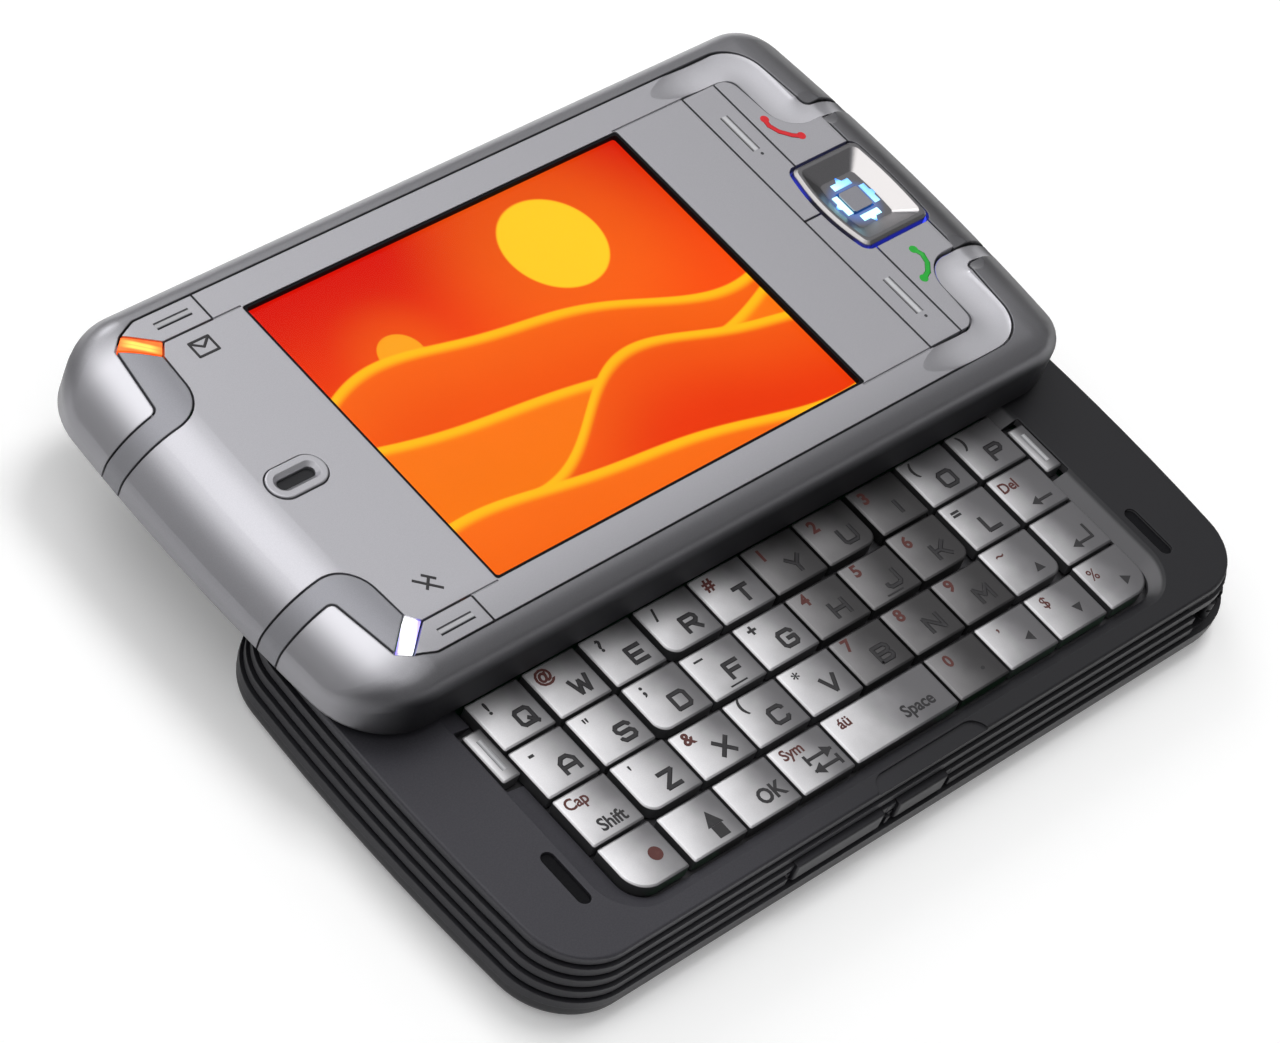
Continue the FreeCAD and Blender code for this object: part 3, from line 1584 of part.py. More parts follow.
def make_display_screws():
    screws = []
    for sx in (1, -1):
        for sy in (1, -1):
            x = sx * display_screw_x
            y = sy * display_screw_y
            seat = display_bottom + display_screw_recess
            head = cylinder(x, y, display_bottom + display_screw_sink, seat, screw_head_radius)
            shank = cylinder(x, y, seat - overlap, frame_bottom, screw_radius)
            screws.append(head.fuse(shank).removeSplitter())
    save_display("display_screws", Part.makeCompound(screws))


os.makedirs("parts", exist_ok=True)
make_keyboard()
save("wing_key_left", wing_key(-1))
save("wing_key_right", wing_key(1))
make_upper_housing()
make_bumper_pads()
make_lower_shell()
make_battery()
make_battery_cover()
make_main_board()
make_key_mat()
make_camera()
make_speaker()
make_port()
make_screws()
make_stylus()
make_side_keys()
make_slide_plate()
make_slide_rails()
make_front_cover()
make_corner_strips()
make_lamps()
make_side_rim()
make_top_keys()
make_cluster_keys()
make_nav()
make_earpiece()
make_screen()
make_mid_frame()
make_front_boards()
make_back_cover()
make_display_screws()
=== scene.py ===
import bpy
import math
from mathutils import Matrix, Vector


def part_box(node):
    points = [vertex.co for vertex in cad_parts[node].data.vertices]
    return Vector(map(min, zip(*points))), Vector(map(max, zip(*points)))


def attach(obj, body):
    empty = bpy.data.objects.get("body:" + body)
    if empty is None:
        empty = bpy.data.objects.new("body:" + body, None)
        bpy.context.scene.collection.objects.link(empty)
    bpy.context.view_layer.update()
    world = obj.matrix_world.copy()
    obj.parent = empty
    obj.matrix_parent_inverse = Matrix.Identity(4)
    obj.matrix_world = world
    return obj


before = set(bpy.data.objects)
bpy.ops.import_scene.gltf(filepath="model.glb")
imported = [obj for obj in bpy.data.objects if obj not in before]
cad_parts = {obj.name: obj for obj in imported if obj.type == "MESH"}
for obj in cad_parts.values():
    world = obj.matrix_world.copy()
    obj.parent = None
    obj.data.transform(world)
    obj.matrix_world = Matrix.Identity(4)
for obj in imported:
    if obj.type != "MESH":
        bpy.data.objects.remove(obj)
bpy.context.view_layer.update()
mm = 0.001
print("frame loaded:", len(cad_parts), "nodes")


# small helpers for building node trees
def addNode(tree, kind, values=None, **settings):
    node = tree.nodes.new(kind)
    for name, value in settings.items():
        setattr(node, name, value)
    for name, value in (values or {}).items():
        node.inputs[name].default_value = value
    return node


def mathNode(tree, operation, first, second=None, third=None, clamp=False):
    node = addNode(tree, "ShaderNodeMath", operation=operation, use_clamp=clamp)
    for socket, value in zip(node.inputs, (first, second, third)):
        if value is None:
            continue
        if isinstance(value, (int, float)):
            socket.default_value = value
        else:
            tree.links.new(value, socket)
    return node.outputs[0]


def mixColour(tree, factor, first, second, blend="MIX"):
    node = addNode(tree, "ShaderNodeMix", data_type="RGBA", blend_type=blend)
    for socket, value in ((node.inputs[0], factor), (node.inputs[6], first), (node.inputs[7], second)):
        if isinstance(value, (int, float)):
            socket.default_value = value
        elif isinstance(value, tuple):
            socket.default_value = value if len(value) == 4 else (*value, 1)
        else:
            tree.links.new(value, socket)
    return node.outputs[2]


def stepBetween(tree, value, low, high, fromValue=0.0, toValue=1.0):
    node = addNode(tree, "ShaderNodeMapRange", interpolation_type="SMOOTHSTEP")
    tree.links.new(value, node.inputs["Value"])
    node.inputs["From Min"].default_value = low
    node.inputs["From Max"].default_value = high
    node.inputs["To Min"].default_value = fromValue
    node.inputs["To Max"].default_value = toValue
    return node.outputs[0]


def newGroup(name, inputs, outputs):
    tree = bpy.data.node_groups.new(name, "ShaderNodeTree")
    for label, value in inputs.items():
        socket = tree.interface.new_socket(label, in_out="INPUT", socket_type="NodeSocketFloat")
        socket.default_value = value
    for label in outputs:
        tree.interface.new_socket(label, in_out="OUTPUT", socket_type="NodeSocketFloat")
    return tree, tree.nodes.new("NodeGroupInput"), tree.nodes.new("NodeGroupOutput")


def placeGroup(tree, group, **values):
    node = tree.nodes.new("ShaderNodeGroup")
    node.node_tree = group
    for name, value in values.items():
        node.inputs[name].default_value = value
    return node


def noiseAt(tree, vector, scale, detail=2.0, roughness=0.5):
    node = addNode(tree, "ShaderNodeTexNoise", {"Detail": detail, "Roughness": roughness})
    tree.links.new(vector, node.inputs["Vector"])
    if isinstance(scale, (int, float)):
        node.inputs["Scale"].default_value = scale
    else:
        tree.links.new(scale, node.inputs["Scale"])
    return node.outputs["Fac"]


# fine moulded or sprayed grain, cells per millimetre
def makeGrainGroup():
    tree, given, result = newGroup("mouldGrain", {"PerMm": 6.0, "Fineness": 0.5}, ["Height", "Mask"])
    place = addNode(tree, "ShaderNodeTexCoord").outputs["Object"]
    scale = mathNode(tree, "MULTIPLY", given.outputs["PerMm"], 1000.0)
    coarse = noiseAt(tree, place, scale, 1.0)
    finer = noiseAt(tree, place, mathNode(tree, "MULTIPLY", scale, 2.7), 1.0)
    blend = addNode(tree, "ShaderNodeMix", data_type="FLOAT")
    tree.links.new(given.outputs["Fineness"], blend.inputs[0])
    tree.links.new(coarse, blend.inputs[2])
    tree.links.new(finer, blend.inputs[3])
    tree.links.new(blend.outputs[0], result.inputs["Height"])
    tree.links.new(stepBetween(tree, blend.outputs[0], 0.4, 0.6), result.inputs["Mask"])
    return tree


# sharp edges, where the rounded normal leaves the true one, broken up by noise: worn edges in the plain finishes,
# painted shade along the seams in the display-half paints
def makeEdgeGroup():
    tree, given, result = newGroup("edgeWearAndSeamShade", {"RadiusMm": 0.2, "Breakup": 0.6}, ["Mask"])
    place = addNode(tree, "ShaderNodeTexCoord").outputs["Object"]
    bevel = addNode(tree, "ShaderNodeBevel", samples=4)
    tree.links.new(mathNode(tree, "MULTIPLY", given.outputs["RadiusMm"], mm), bevel.inputs["Radius"])
    geometry = addNode(tree, "ShaderNodeNewGeometry")
    dot = addNode(tree, "ShaderNodeVectorMath", operation="DOT_PRODUCT")
    tree.links.new(bevel.outputs[0], dot.inputs[0])
    tree.links.new(geometry.outputs["Normal"], dot.inputs[1])
    edge = stepBetween(tree, dot.outputs["Value"], 0.985, 0.80)
    patches = stepBetween(tree, noiseAt(tree, place, 420.0, 4.0, 0.62), 0.46, 0.62)
    broken = mathNode(tree, "MULTIPLY", patches, given.outputs["Breakup"])
    rest = mathNode(tree, "SUBTRACT", 1.0, given.outputs["Breakup"])
    mask = mathNode(tree, "MULTIPLY", edge, mathNode(tree, "ADD", broken, rest))
    tree.links.new(mask, result.inputs["Mask"])
    return tree


# handling film: broad smears that change the gloss
def makeFilmGroup():
    tree, given, result = newGroup("handlingFilm", {"SmearSize": 9.0}, ["Smear"])
    place = addNode(tree, "ShaderNodeTexCoord").outputs["Object"]
    scale = mathNode(tree, "DIVIDE", 1000.0, given.outputs["SmearSize"])
    smear = stepBetween(tree, noiseAt(tree, place, scale, 3.0, 0.5), 0.3, 0.75)
    tree.links.new(smear, result.inputs["Smear"])
    return tree


# faint scuffs along one way of rubbing
def makeScuffGroup():
    tree, given, result = newGroup("slideScuffs", {"Density": 0.5, "Turn": 0.4}, ["Mask"])
    place = addNode(tree, "ShaderNodeTexCoord").outputs["Object"]
    turned = addNode(tree, "ShaderNodeVectorRotate", rotation_type="Z_AXIS")
    tree.links.new(place, turned.inputs["Vector"])
    tree.links.new(given.outputs["Turn"], turned.inputs["Angle"])
    stretched = addNode(tree, "ShaderNodeVectorMath", operation="MULTIPLY")
    stretched.inputs[1].default_value = (60.0, 2600.0, 500.0)
    tree.links.new(turned.outputs[0], stretched.inputs[0])
    lines = noiseAt(tree, stretched.outputs[0], 1.0, 2.0, 0.55)
    patches = noiseAt(tree, place, 130.0, 3.0)
    level = mathNode(tree, "ADD", lines, mathNode(tree, "MULTIPLY", patches, 0.35))
    cut = stepBetween(tree, level, 0.84, 0.93)
    tree.links.new(mathNode(tree, "MULTIPLY", cut, given.outputs["Density"]), result.inputs["Mask"])
    return tree


grainGroup = makeGrainGroup()
edgeGroup = makeEdgeGroup()
filmGroup = makeFilmGroup()
scuffGroup = makeScuffGroup()


# colour and its darker shade, metal share, gloss, grain and wear of each finish
finishes = {
    "housing_plastic": dict(colour=(0.040, 0.039, 0.047), shade=(0.032, 0.031, 0.038), metallic=0.1,
                            roughness=0.46, grain=5.0, bump=0.07, wear=(0.10, 0.10, 0.11), wearAmount=0.25,
                            soften=0.16, shine=0.4, zones=True),
    "shell_plastic": dict(colour=(0.018, 0.0175, 0.022), shade=(0.014, 0.0135, 0.017), metallic=0.1,
                          roughness=0.48, grain=4.0, bump=0.08, wear=(0.12, 0.12, 0.13), wearAmount=0.3,
                          soften=0.2, scuffs=0.05, zones=True),
    "steel": dict(colour=(0.62, 0.62, 0.64), shade=(0.54, 0.54, 0.56), metallic=1.0,
                  roughness=0.28, grain=6.0, bump=0.03, wear=(0.75, 0.75, 0.75), wearAmount=0.4,
                  soften=0.08, scuffs=0.5),
    "magnesium": dict(colour=(0.36, 0.36, 0.37), shade=(0.30, 0.30, 0.31), metallic=1.0,
                      roughness=0.5, grain=3.0, bump=0.2, wear=(0.5, 0.5, 0.5), wearAmount=0.3,
                      soften=0.1, scuffs=0.2),
    "black_plastic": dict(colour=(0.010, 0.010, 0.012), shade=(0.007, 0.007, 0.009), metallic=0.0,
                          roughness=0.38, grain=6.0, bump=0.05, wear=(0.05, 0.05, 0.05), wearAmount=0.3,
                          soften=0.1, scuffs=0.1, shine=0.3),
    "black_rubber": dict(colour=(0.006, 0.006, 0.007), shade=(0.004, 0.004, 0.005), metallic=0.0,
                         roughness=0.7, grain=3.0, bump=0.12, wear=(0.02, 0.02, 0.02), wearAmount=0.3,
                         soften=0.1, shine=0.1),
    "mat_rubber": dict(colour=(0.050, 0.049, 0.053), shade=(0.042, 0.041, 0.045), metallic=0.0,
                       roughness=0.65, grain=3.0, bump=0.1, wear=(0.05, 0.05, 0.05), wearAmount=0.2,
                       soften=0.1),
    "battery_wrap": dict(colour=(0.08, 0.085, 0.10), shade=(0.06, 0.065, 0.08), metallic=0.0,
                         roughness=0.4, grain=2.0, bump=0.03, wear=(0.2, 0.2, 0.2), wearAmount=0.3,
                         soften=0.3, scuffs=0.2),
}

# sprayed metal paints of the display half, silver above; the wall tone is painted shade down the walls away from the
# near end, on the far rim, along a long band and along sharp edges at the seams, and the highlight tone is a painted
# highlight on the near blocks, in the thumb dips and on slopes facing the near end
paints = {
    "rim_paint": dict(colour=(0.27, 0.268, 0.285), shade=(0.245, 0.243, 0.26), metallic=0.85, roughness=0.34,
                      wall=(0.028, 0.028, 0.032), soften=0.25, coat=0.2,
                      light=(0.50, 0.495, 0.525), block=1.0, far=0.88),
    "cover_paint": dict(colour=(0.48, 0.475, 0.505), shade=(0.44, 0.435, 0.465), metallic=0.80, roughness=0.38,
                        wall=(0.06, 0.06, 0.066), soften=0.14, coat=0.15,
                        light=(0.80, 0.795, 0.825), dip=0.36),
    "face_key_paint": dict(colour=(0.48, 0.475, 0.505), shade=(0.44, 0.435, 0.465), metallic=0.80, roughness=0.38,
                           wall=(0.06, 0.06, 0.066), soften=0.14, coat=0.15),
    "strip_paint": dict(colour=(0.29, 0.29, 0.315), shade=(0.265, 0.265, 0.29), metallic=0.55, roughness=0.46,
                        wall=(0.16, 0.16, 0.17), soften=0.2, coat=0.0),
    "select_metal": dict(colour=(0.40, 0.40, 0.44), shade=(0.36, 0.36, 0.40), metallic=0.9, roughness=0.3,
                         wall=(0.40, 0.40, 0.44), soften=0.12, coat=0.0),
    "nav_metal": dict(colour=(0.225, 0.22, 0.23), shade=(0.20, 0.197, 0.205), metallic=1.0, roughness=0.34,
                      wall=(0.20, 0.197, 0.205), soften=0.18, coat=0.0,
                      light=(0.72, 0.69, 0.68), facing=0.55),
}


def newMaterial(name):
    material = bpy.data.materials.new(name)
    material.use_nodes = True
    return material, material.node_tree, material.node_tree.nodes["Principled BSDF"]


def softenedNormal(tree, shader, radius, height, strength):
    # rounds the sharp edges in the shading and lays the fine grain over them
    rounded = addNode(tree, "ShaderNodeBevel", samples=4)
    rounded.inputs["Radius"].default_value = radius * mm
    bumped = addNode(tree, "ShaderNodeBump", {"Strength": strength, "Distance": 0.00004})
    tree.links.new(height, bumped.inputs["Height"])
    tree.links.new(rounded.outputs[0], bumped.inputs["Normal"])
    tree.links.new(bumped.outputs[0], shader.inputs["Normal"])


# base half: heights of the lip and of the walls, ways of the painted shade over the deck and down the walls, and of
# the painted highlight on its recess edge
baseTone = dict(lip=(1.1, 0.6), lipTone=(0.11, 0.108, 0.12), far=(-45.0, 8.0), wall=(9.3, 8.5),
                farTone=(0.009, 0.0088, 0.011), edgeTone=(0.13, 0.128, 0.135), edgeHeight=(9.5, 9.35),
                edgeFacing=(-0.12, -0.35), edgeFrom=(40.0, 42.0), wallShare=0.6)


def makeBaseGroup():
    tree, given, result = newGroup("baseShade", {}, ["Lip", "Far", "Edge"])
    parts = addNode(tree, "ShaderNodeSeparateXYZ")
    tree.links.new(addNode(tree, "ShaderNodeTexCoord").outputs["Object"], parts.inputs[0])
    facing = addNode(tree, "ShaderNodeSeparateXYZ")
    tree.links.new(addNode(tree, "ShaderNodeNewGeometry").outputs["Normal"], facing.inputs[0])

    def zone(value, pair, scale=mm):
        return stepBetween(tree, value, pair[0] * scale, pair[1] * scale)

    tree.links.new(zone(parts.outputs["Z"], baseTone["lip"]), result.inputs["Lip"])
    # painted shade down the walls and towards the far end of the deck
    walls = mathNode(tree, "MULTIPLY", zone(parts.outputs["Z"], baseTone["wall"]), baseTone["wallShare"])
    tree.links.new(mathNode(tree, "MAXIMUM", zone(parts.outputs["X"], baseTone["far"]), walls), result.inputs["Far"])
    # painted highlight on the recess edge at the far end, facing the near end
    edge = mathNode(tree, "MULTIPLY", zone(facing.outputs["X"], baseTone["edgeFacing"], 1.0),
                    zone(parts.outputs["X"], baseTone["edgeFrom"]))
    inRecess = mathNode(tree, "MULTIPLY", zone(parts.outputs["Z"], baseTone["edgeHeight"]),
                        stepBetween(tree, parts.outputs["Z"], 8.2 * mm, 8.4 * mm))
    tree.links.new(mathNode(tree, "MULTIPLY", edge, inRecess), result.inputs["Edge"])
    return tree


baseGroup = makeBaseGroup()


def makeFinish(name, colour, shade, metallic, roughness, grain, bump, wear, wearAmount, soften, scuffs=0.0,
               shine=0.5, zones=False):
    material, tree, shader = newMaterial(name)
    grainNode = placeGroup(tree, grainGroup, PerMm=grain, Fineness=0.5)
    edgeNode = placeGroup(tree, edgeGroup, RadiusMm=soften * 1.4, Breakup=0.5)
    filmNode = placeGroup(tree, filmGroup, SmearSize=11.0)
    scuffNode = placeGroup(tree, scuffGroup, Density=scuffs, Turn=0.5)
    flecked = mixColour(tree, grainNode.outputs["Mask"], shade, colour)
    if zones:
        # painted shade towards the far end and down the walls, a painted highlight on the recess edge, and the
        # lighter lip
        zoneNode = placeGroup(tree, baseGroup)
        for label in ("Far", "Edge", "Lip"):
            flecked = mixColour(tree, zoneNode.outputs[label], flecked, baseTone[label.lower() + "Tone"])
    worn = mixColour(tree, mathNode(tree, "MULTIPLY", edgeNode.outputs["Mask"], wearAmount), flecked, wear)
    scuffed = mixColour(tree, mathNode(tree, "MULTIPLY", scuffNode.outputs["Mask"], 0.4), worn, wear)
    tree.links.new(scuffed, shader.inputs["Base Color"])
    gloss = mathNode(tree, "MULTIPLY_ADD", filmNode.outputs["Smear"], 0.06, roughness - 0.03)
    rubbed = mathNode(tree, "MULTIPLY_ADD", scuffNode.outputs["Mask"], 0.12, gloss, clamp=True)
    tree.links.new(rubbed, shader.inputs["Roughness"])
    shader.inputs["Metallic"].default_value = metallic
    shader.inputs["Specular IOR Level"].default_value = shine
    softenedNormal(tree, shader, soften, grainNode.outputs["Height"], bump)
    return material


# display half: where painted shade darkens the walls and the near end stays lighter, then the zones of the painted
# highlights on the blocks and thumb dips, of the painted shade on the far rim and along the long band, of the painted
# shade along seams and of a painted blue glow beside the call key, all in mm from the middle of the half
halfTone = dict(wallLow=15.2, wallHigh=18.1, nearEnd=-58.2, nearBlend=-51.0, nearEndShade=0.5, seamShade=0.75, duller=0.3, paintedBlueGlow=(46.6, -13.4),
                block=(-45.0, -50.0), blockSide=(26.5, 22.5), far=(50.0, 53.5),
                band=(-20.0, -27.0), bandShadeShare=0.24, dip=(32.5, 42.0), dipEnd=(51.5, 50.5), dipDepth=(18.95, 18.7))
coverLow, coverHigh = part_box("front_cover")
centreY = (coverLow.y + coverHigh.y) / 2 / mm


def makeWallGroup():
    tree, given, result = newGroup("wallShade", {}, ["Side", "NearEnd", "Block", "Far", "Band", "Dip", "Facing"])
    place = addNode(tree, "ShaderNodeTexCoord").outputs["Object"]
    parts = addNode(tree, "ShaderNodeSeparateXYZ")
    tree.links.new(place, parts.inputs[0])
    # painted shade down the walls, away from the near end, and at a smaller share on the near end's wall
    low = stepBetween(tree, parts.outputs["Z"], halfTone["wallHigh"] * mm, halfTone["wallLow"] * mm)
    away = stepBetween(tree, parts.outputs["X"], halfTone["nearEnd"] * mm, halfTone["nearBlend"] * mm)
    near = mathNode(tree, "SUBTRACT", 1.0, away)
    tree.links.new(mathNode(tree, "MULTIPLY", low, away), result.inputs["Side"])
    tree.links.new(mathNode(tree, "MULTIPLY", low, near), result.inputs["NearEnd"])
    offside = mathNode(tree, "SUBTRACT", parts.outputs["Y"], centreY * mm)

    def zone(value, key):
        return stepBetween(tree, value, halfTone[key][0] * mm, halfTone[key][1] * mm)

    # painted highlight on the near blocks of the rim
    block = mathNode(tree, "MULTIPLY", zone(parts.outputs["X"], "block"),
                     zone(mathNode(tree, "ABSOLUTE", offside), "blockSide"))
    tree.links.new(block, result.inputs["Block"])
    normal = addNode(tree, "ShaderNodeSeparateXYZ")
    tree.links.new(addNode(tree, "ShaderNodeNewGeometry").outputs["Normal"], normal.inputs[0])
    # painted highlight mask: slopes facing the near end
    tree.links.new(stepBetween(tree, normal.outputs["X"], -0.15, -0.35), result.inputs["Facing"])
    # painted shade on the far rim
    tree.links.new(zone(parts.outputs["X"], "far"), result.inputs["Far"])
    # painted shade along the long band
    tree.links.new(zone(offside, "band"), result.inputs["Band"])
    # painted highlight in the thumb dips, below the face; it also makes them rougher
    dip = mathNode(tree, "MULTIPLY", zone(parts.outputs["X"], "dip"), zone(parts.outputs["X"], "dipEnd"))
    tree.links.new(mathNode(tree, "MULTIPLY", dip, zone(parts.outputs["Z"], "dipDepth")), result.inputs["Dip"])
    return tree


wallGroup = makeWallGroup()


def distanceFrom(tree, x, y, stretchX=1.0, stretchY=1.0):
    # distance in mm from a spot on the plan, in object coordinates
    shifted = addNode(tree, "ShaderNodeVectorMath", operation="SUBTRACT")
    tree.links.new(addNode(tree, "ShaderNodeTexCoord").outputs["Object"], shifted.inputs[0])
    shifted.inputs[1].default_value = (x * mm, y * mm, 0)
    scaled = addNode(tree, "ShaderNodeVectorMath", operation="MULTIPLY")
    tree.links.new(shifted.outputs[0], scaled.inputs[0])
    scaled.inputs[1].default_value = (stretchX / mm, stretchY / mm, 0)
    length = addNode(tree, "ShaderNodeVectorMath", operation="LENGTH")
    tree.links.new(scaled.outputs[0], length.inputs[0])
    return length.outputs["Value"]


def makePaint(name, colour, shade, metallic, roughness, wall, soften, coat, light=None, block=0.0, far=0.0,
              dip=0.0, facing=0.0):
    material, tree, shader = newMaterial(name)
    grainNode = placeGroup(tree, grainGroup, PerMm=8.0, Fineness=0.6)
    filmNode = placeGroup(tree, filmGroup, SmearSize=24.0)
    wallNode = placeGroup(tree, wallGroup)
    flecked = mixColour(tree, grainNode.outputs["Mask"], shade, colour)
    # painted highlights on the near blocks, in the thumb dips and on slopes facing the near end; painted shade on the
    # far rim and along the long band
    for label, share, tone in (("Block", block, light), ("Dip", dip, light), ("Facing", facing, light), ("Far", far, wall),
                               ("Band", halfTone["bandShadeShare"], wall)):
        if share:
            flecked = mixColour(tree, mathNode(tree, "MULTIPLY", wallNode.outputs[label], share), flecked, tone)
    # painted shade down the walls away from the near end
    wallShaded = mixColour(tree, wallNode.outputs["Side"], flecked, wall)
    # painted shade on the near end's wall, at a smaller share
    nearEnd = mathNode(tree, "MULTIPLY", wallNode.outputs["NearEnd"], halfTone["nearEndShade"])
    nearEndShaded = mixColour(tree, nearEnd, wallShaded, wall)
    # painted shade along the sharp edges, so that the seams between parts read darker
    edgeNode = placeGroup(tree, edgeGroup, RadiusMm=0.13, Breakup=0.0)
    seamShaded = mixColour(tree, mathNode(tree, "MULTIPLY", edgeNode.outputs["Mask"], halfTone["seamShade"]), nearEndShaded, wall)
    tree.links.new(seamShaded, shader.inputs["Base Color"])
    if dip:
        # painted blue light on the seam edges beside the call key, glowing though the paint is no lamp
        spot = stepBetween(tree, distanceFrom(tree, halfTone["paintedBlueGlow"][0], centreY + halfTone["paintedBlueGlow"][1]), 3.4, 2.0)
        lit = mathNode(tree, "MULTIPLY", spot, edgeNode.outputs["Mask"])
        tree.links.new(mixColour(tree, lit, (0, 0, 0), (0.05, 0.07, 0.75)), shader.inputs["Emission Color"])
        shader.inputs["Emission Strength"].default_value = 0.9
    gloss = mathNode(tree, "MULTIPLY_ADD", filmNode.outputs["Smear"], 0.03, roughness - 0.015)
    duller = mathNode(tree, "MULTIPLY_ADD", wallNode.outputs["Side"], halfTone["duller"], gloss)
    tree.links.new(mathNode(tree, "MULTIPLY_ADD", wallNode.outputs["Dip"], dip, duller), shader.inputs["Roughness"])
    shader.inputs["Metallic"].default_value = metallic
    shaded = mathNode(tree, "MAXIMUM", wallNode.outputs["Side"], mathNode(tree, "MULTIPLY", wallNode.outputs["Far"], far))
    tree.links.new(mathNode(tree, "MULTIPLY_ADD", shaded, -coat, coat), shader.inputs["Coat Weight"])
    shader.inputs["Coat Roughness"].default_value = 0.2
    softenedNormal(tree, shader, soften, grainNode.outputs["Height"], 0.025)
    return material


materials = {name: makeFinish(name, **values) for name, values in finishes.items()}
materials.update({name: makePaint(name, **values) for name, values in paints.items()})
print("plain finishes made:", len(materials))

keyboard = dict(left=-43.0, top=5.5, pitchX=8.6, pitchY=7.35, dome=0.55, farKeyShade=0.22)


# keycaps: satin metal paint on a slightly domed top, with a painted highlight at the far left of each key, painted
# shade towards its right and lower edge, and painted shade down the sides
def makeKeyFinish(name, bright, dark, side, roughness, cell=None):
    material, tree, shader = newMaterial(name)
    place = addNode(tree, "ShaderNodeTexCoord").outputs["Object"]
    parts = addNode(tree, "ShaderNodeSeparateXYZ")
    tree.links.new(place, parts.inputs[0])
    left, bottom, pitchX, pitchY = cell or [keyboard[part] for part in ("left", "top", "pitchX", "pitchY")]
    across = mathNode(tree, "DIVIDE", mathNode(tree, "SUBTRACT", parts.outputs["X"], left * mm), pitchX * mm)
    along = mathNode(tree, "DIVIDE", mathNode(tree, "SUBTRACT", parts.outputs["Y"], bottom * mm), pitchY * mm)
    u = mathNode(tree, "FRACT", across)
    v = mathNode(tree, "FRACT", along)
    # painted light on each key: a highlight at its left, shade towards its right and its lower edge
    nearEdgeShade = mathNode(tree, "POWER", mathNode(tree, "SUBTRACT", 1.0, v), 2.0)
    paintedLightSlope = mathNode(tree, "MULTIPLY_ADD", mathNode(tree, "MULTIPLY", u, v), 0.36,
                     mathNode(tree, "MULTIPLY_ADD", u, 0.50, mathNode(tree, "MULTIPLY_ADD", nearEdgeShade, 0.17, 0.04)))
    grainNode = placeGroup(tree, grainGroup, PerMm=9.0, Fineness=0.6)
    filmNode = placeGroup(tree, filmGroup, SmearSize=9.0)
    uneven = mathNode(tree, "MULTIPLY_ADD", filmNode.outputs["Smear"], 0.16, paintedLightSlope)
    # painted shade on the keys towards the far end
    fartherShaded = mathNode(tree, "MULTIPLY_ADD", stepBetween(tree, parts.outputs["X"], -0.03, 0.045),
                       keyboard["farKeyShade"], uneven)
    shaded = stepBetween(tree, fartherShaded, 0.05, 0.85)
    base = mixColour(tree, shaded, bright, dark)
    grained = mixColour(tree, mathNode(tree, "MULTIPLY", grainNode.outputs["Mask"], 0.08), base, dark)
    facing = addNode(tree, "ShaderNodeSeparateXYZ")
    tree.links.new(addNode(tree, "ShaderNodeNewGeometry").outputs["Normal"], facing.inputs[0])
    # painted shade down the sides of the keys
    flankShade = stepBetween(tree, facing.outputs["Z"], 0.5, 0.1)
    tree.links.new(mixColour(tree, flankShade, grained, side), shader.inputs["Base Color"])
    tree.links.new(mathNode(tree, "MULTIPLY_ADD", filmNode.outputs["Smear"], 0.06, roughness),
                   shader.inputs["Roughness"])
    shader.inputs["Metallic"].default_value = 0.7
    du = mathNode(tree, "POWER", mathNode(tree, "SUBTRACT", u, 0.5), 2.0)
    dv = mathNode(tree, "POWER", mathNode(tree, "SUBTRACT", v, 0.5), 2.0)
    dome = mathNode(tree, "MULTIPLY", mathNode(tree, "ADD", du, dv), -keyboard["dome"] * 4)
    height = mathNode(tree, "MULTIPLY_ADD", grainNode.outputs["Height"], 0.015, dome)
    rounded = addNode(tree, "ShaderNodeBevel", samples=4)
    rounded.inputs["Radius"].default_value = 0.18 * mm
    bumped = addNode(tree, "ShaderNodeBump", {"Strength": 1.0, "Distance": 0.0002})
    tree.links.new(height, bumped.inputs["Height"])
    tree.links.new(rounded.outputs[0], bumped.inputs["Normal"])
    tree.links.new(bumped.outputs[0], shader.inputs["Normal"])
    return material


def cellOf(node):
    low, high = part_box(node)
    return low.x / mm, low.y / mm, (high.x - low.x) / mm + 0.01, (high.y - low.y) / mm + 0.01


silverTones = dict(bright=(0.87, 0.86, 0.88), dark=(0.17, 0.167, 0.175), side=(0.17, 0.17, 0.18), roughness=0.34)
graphiteTones = dict(bright=(0.30, 0.293, 0.30), dark=(0.062, 0.06, 0.062), side=(0.05, 0.05, 0.05), roughness=0.36)
materials["key_silver"] = makeKeyFinish("key_silver", **silverTones)
materials["key_graphite"] = makeKeyFinish("key_graphite", **graphiteTones)
for wideKey in ("key_space", "wing_key_left", "wing_key_right"):
    materials[wideKey] = makeKeyFinish(wideKey, cell=cellOf(wideKey), **silverTones)


def makeGlass():
    material, tree, shader = newMaterial("glass")
    filmNode = placeGroup(tree, filmGroup, SmearSize=14.0)
    tree.links.new(mixColour(tree, filmNode.outputs["Smear"], (0.98, 0.985, 0.985), (0.95, 0.955, 0.955)),
                   shader.inputs["Base Color"])
    tree.links.new(mathNode(tree, "MULTIPLY_ADD", filmNode.outputs["Smear"], 0.03, 0.02),
                   shader.inputs["Roughness"])
    shader.inputs["Transmission Weight"].default_value = 1.0
    shader.inputs["IOR"].default_value = 1.15
    return material


materials["glass"] = makeGlass()

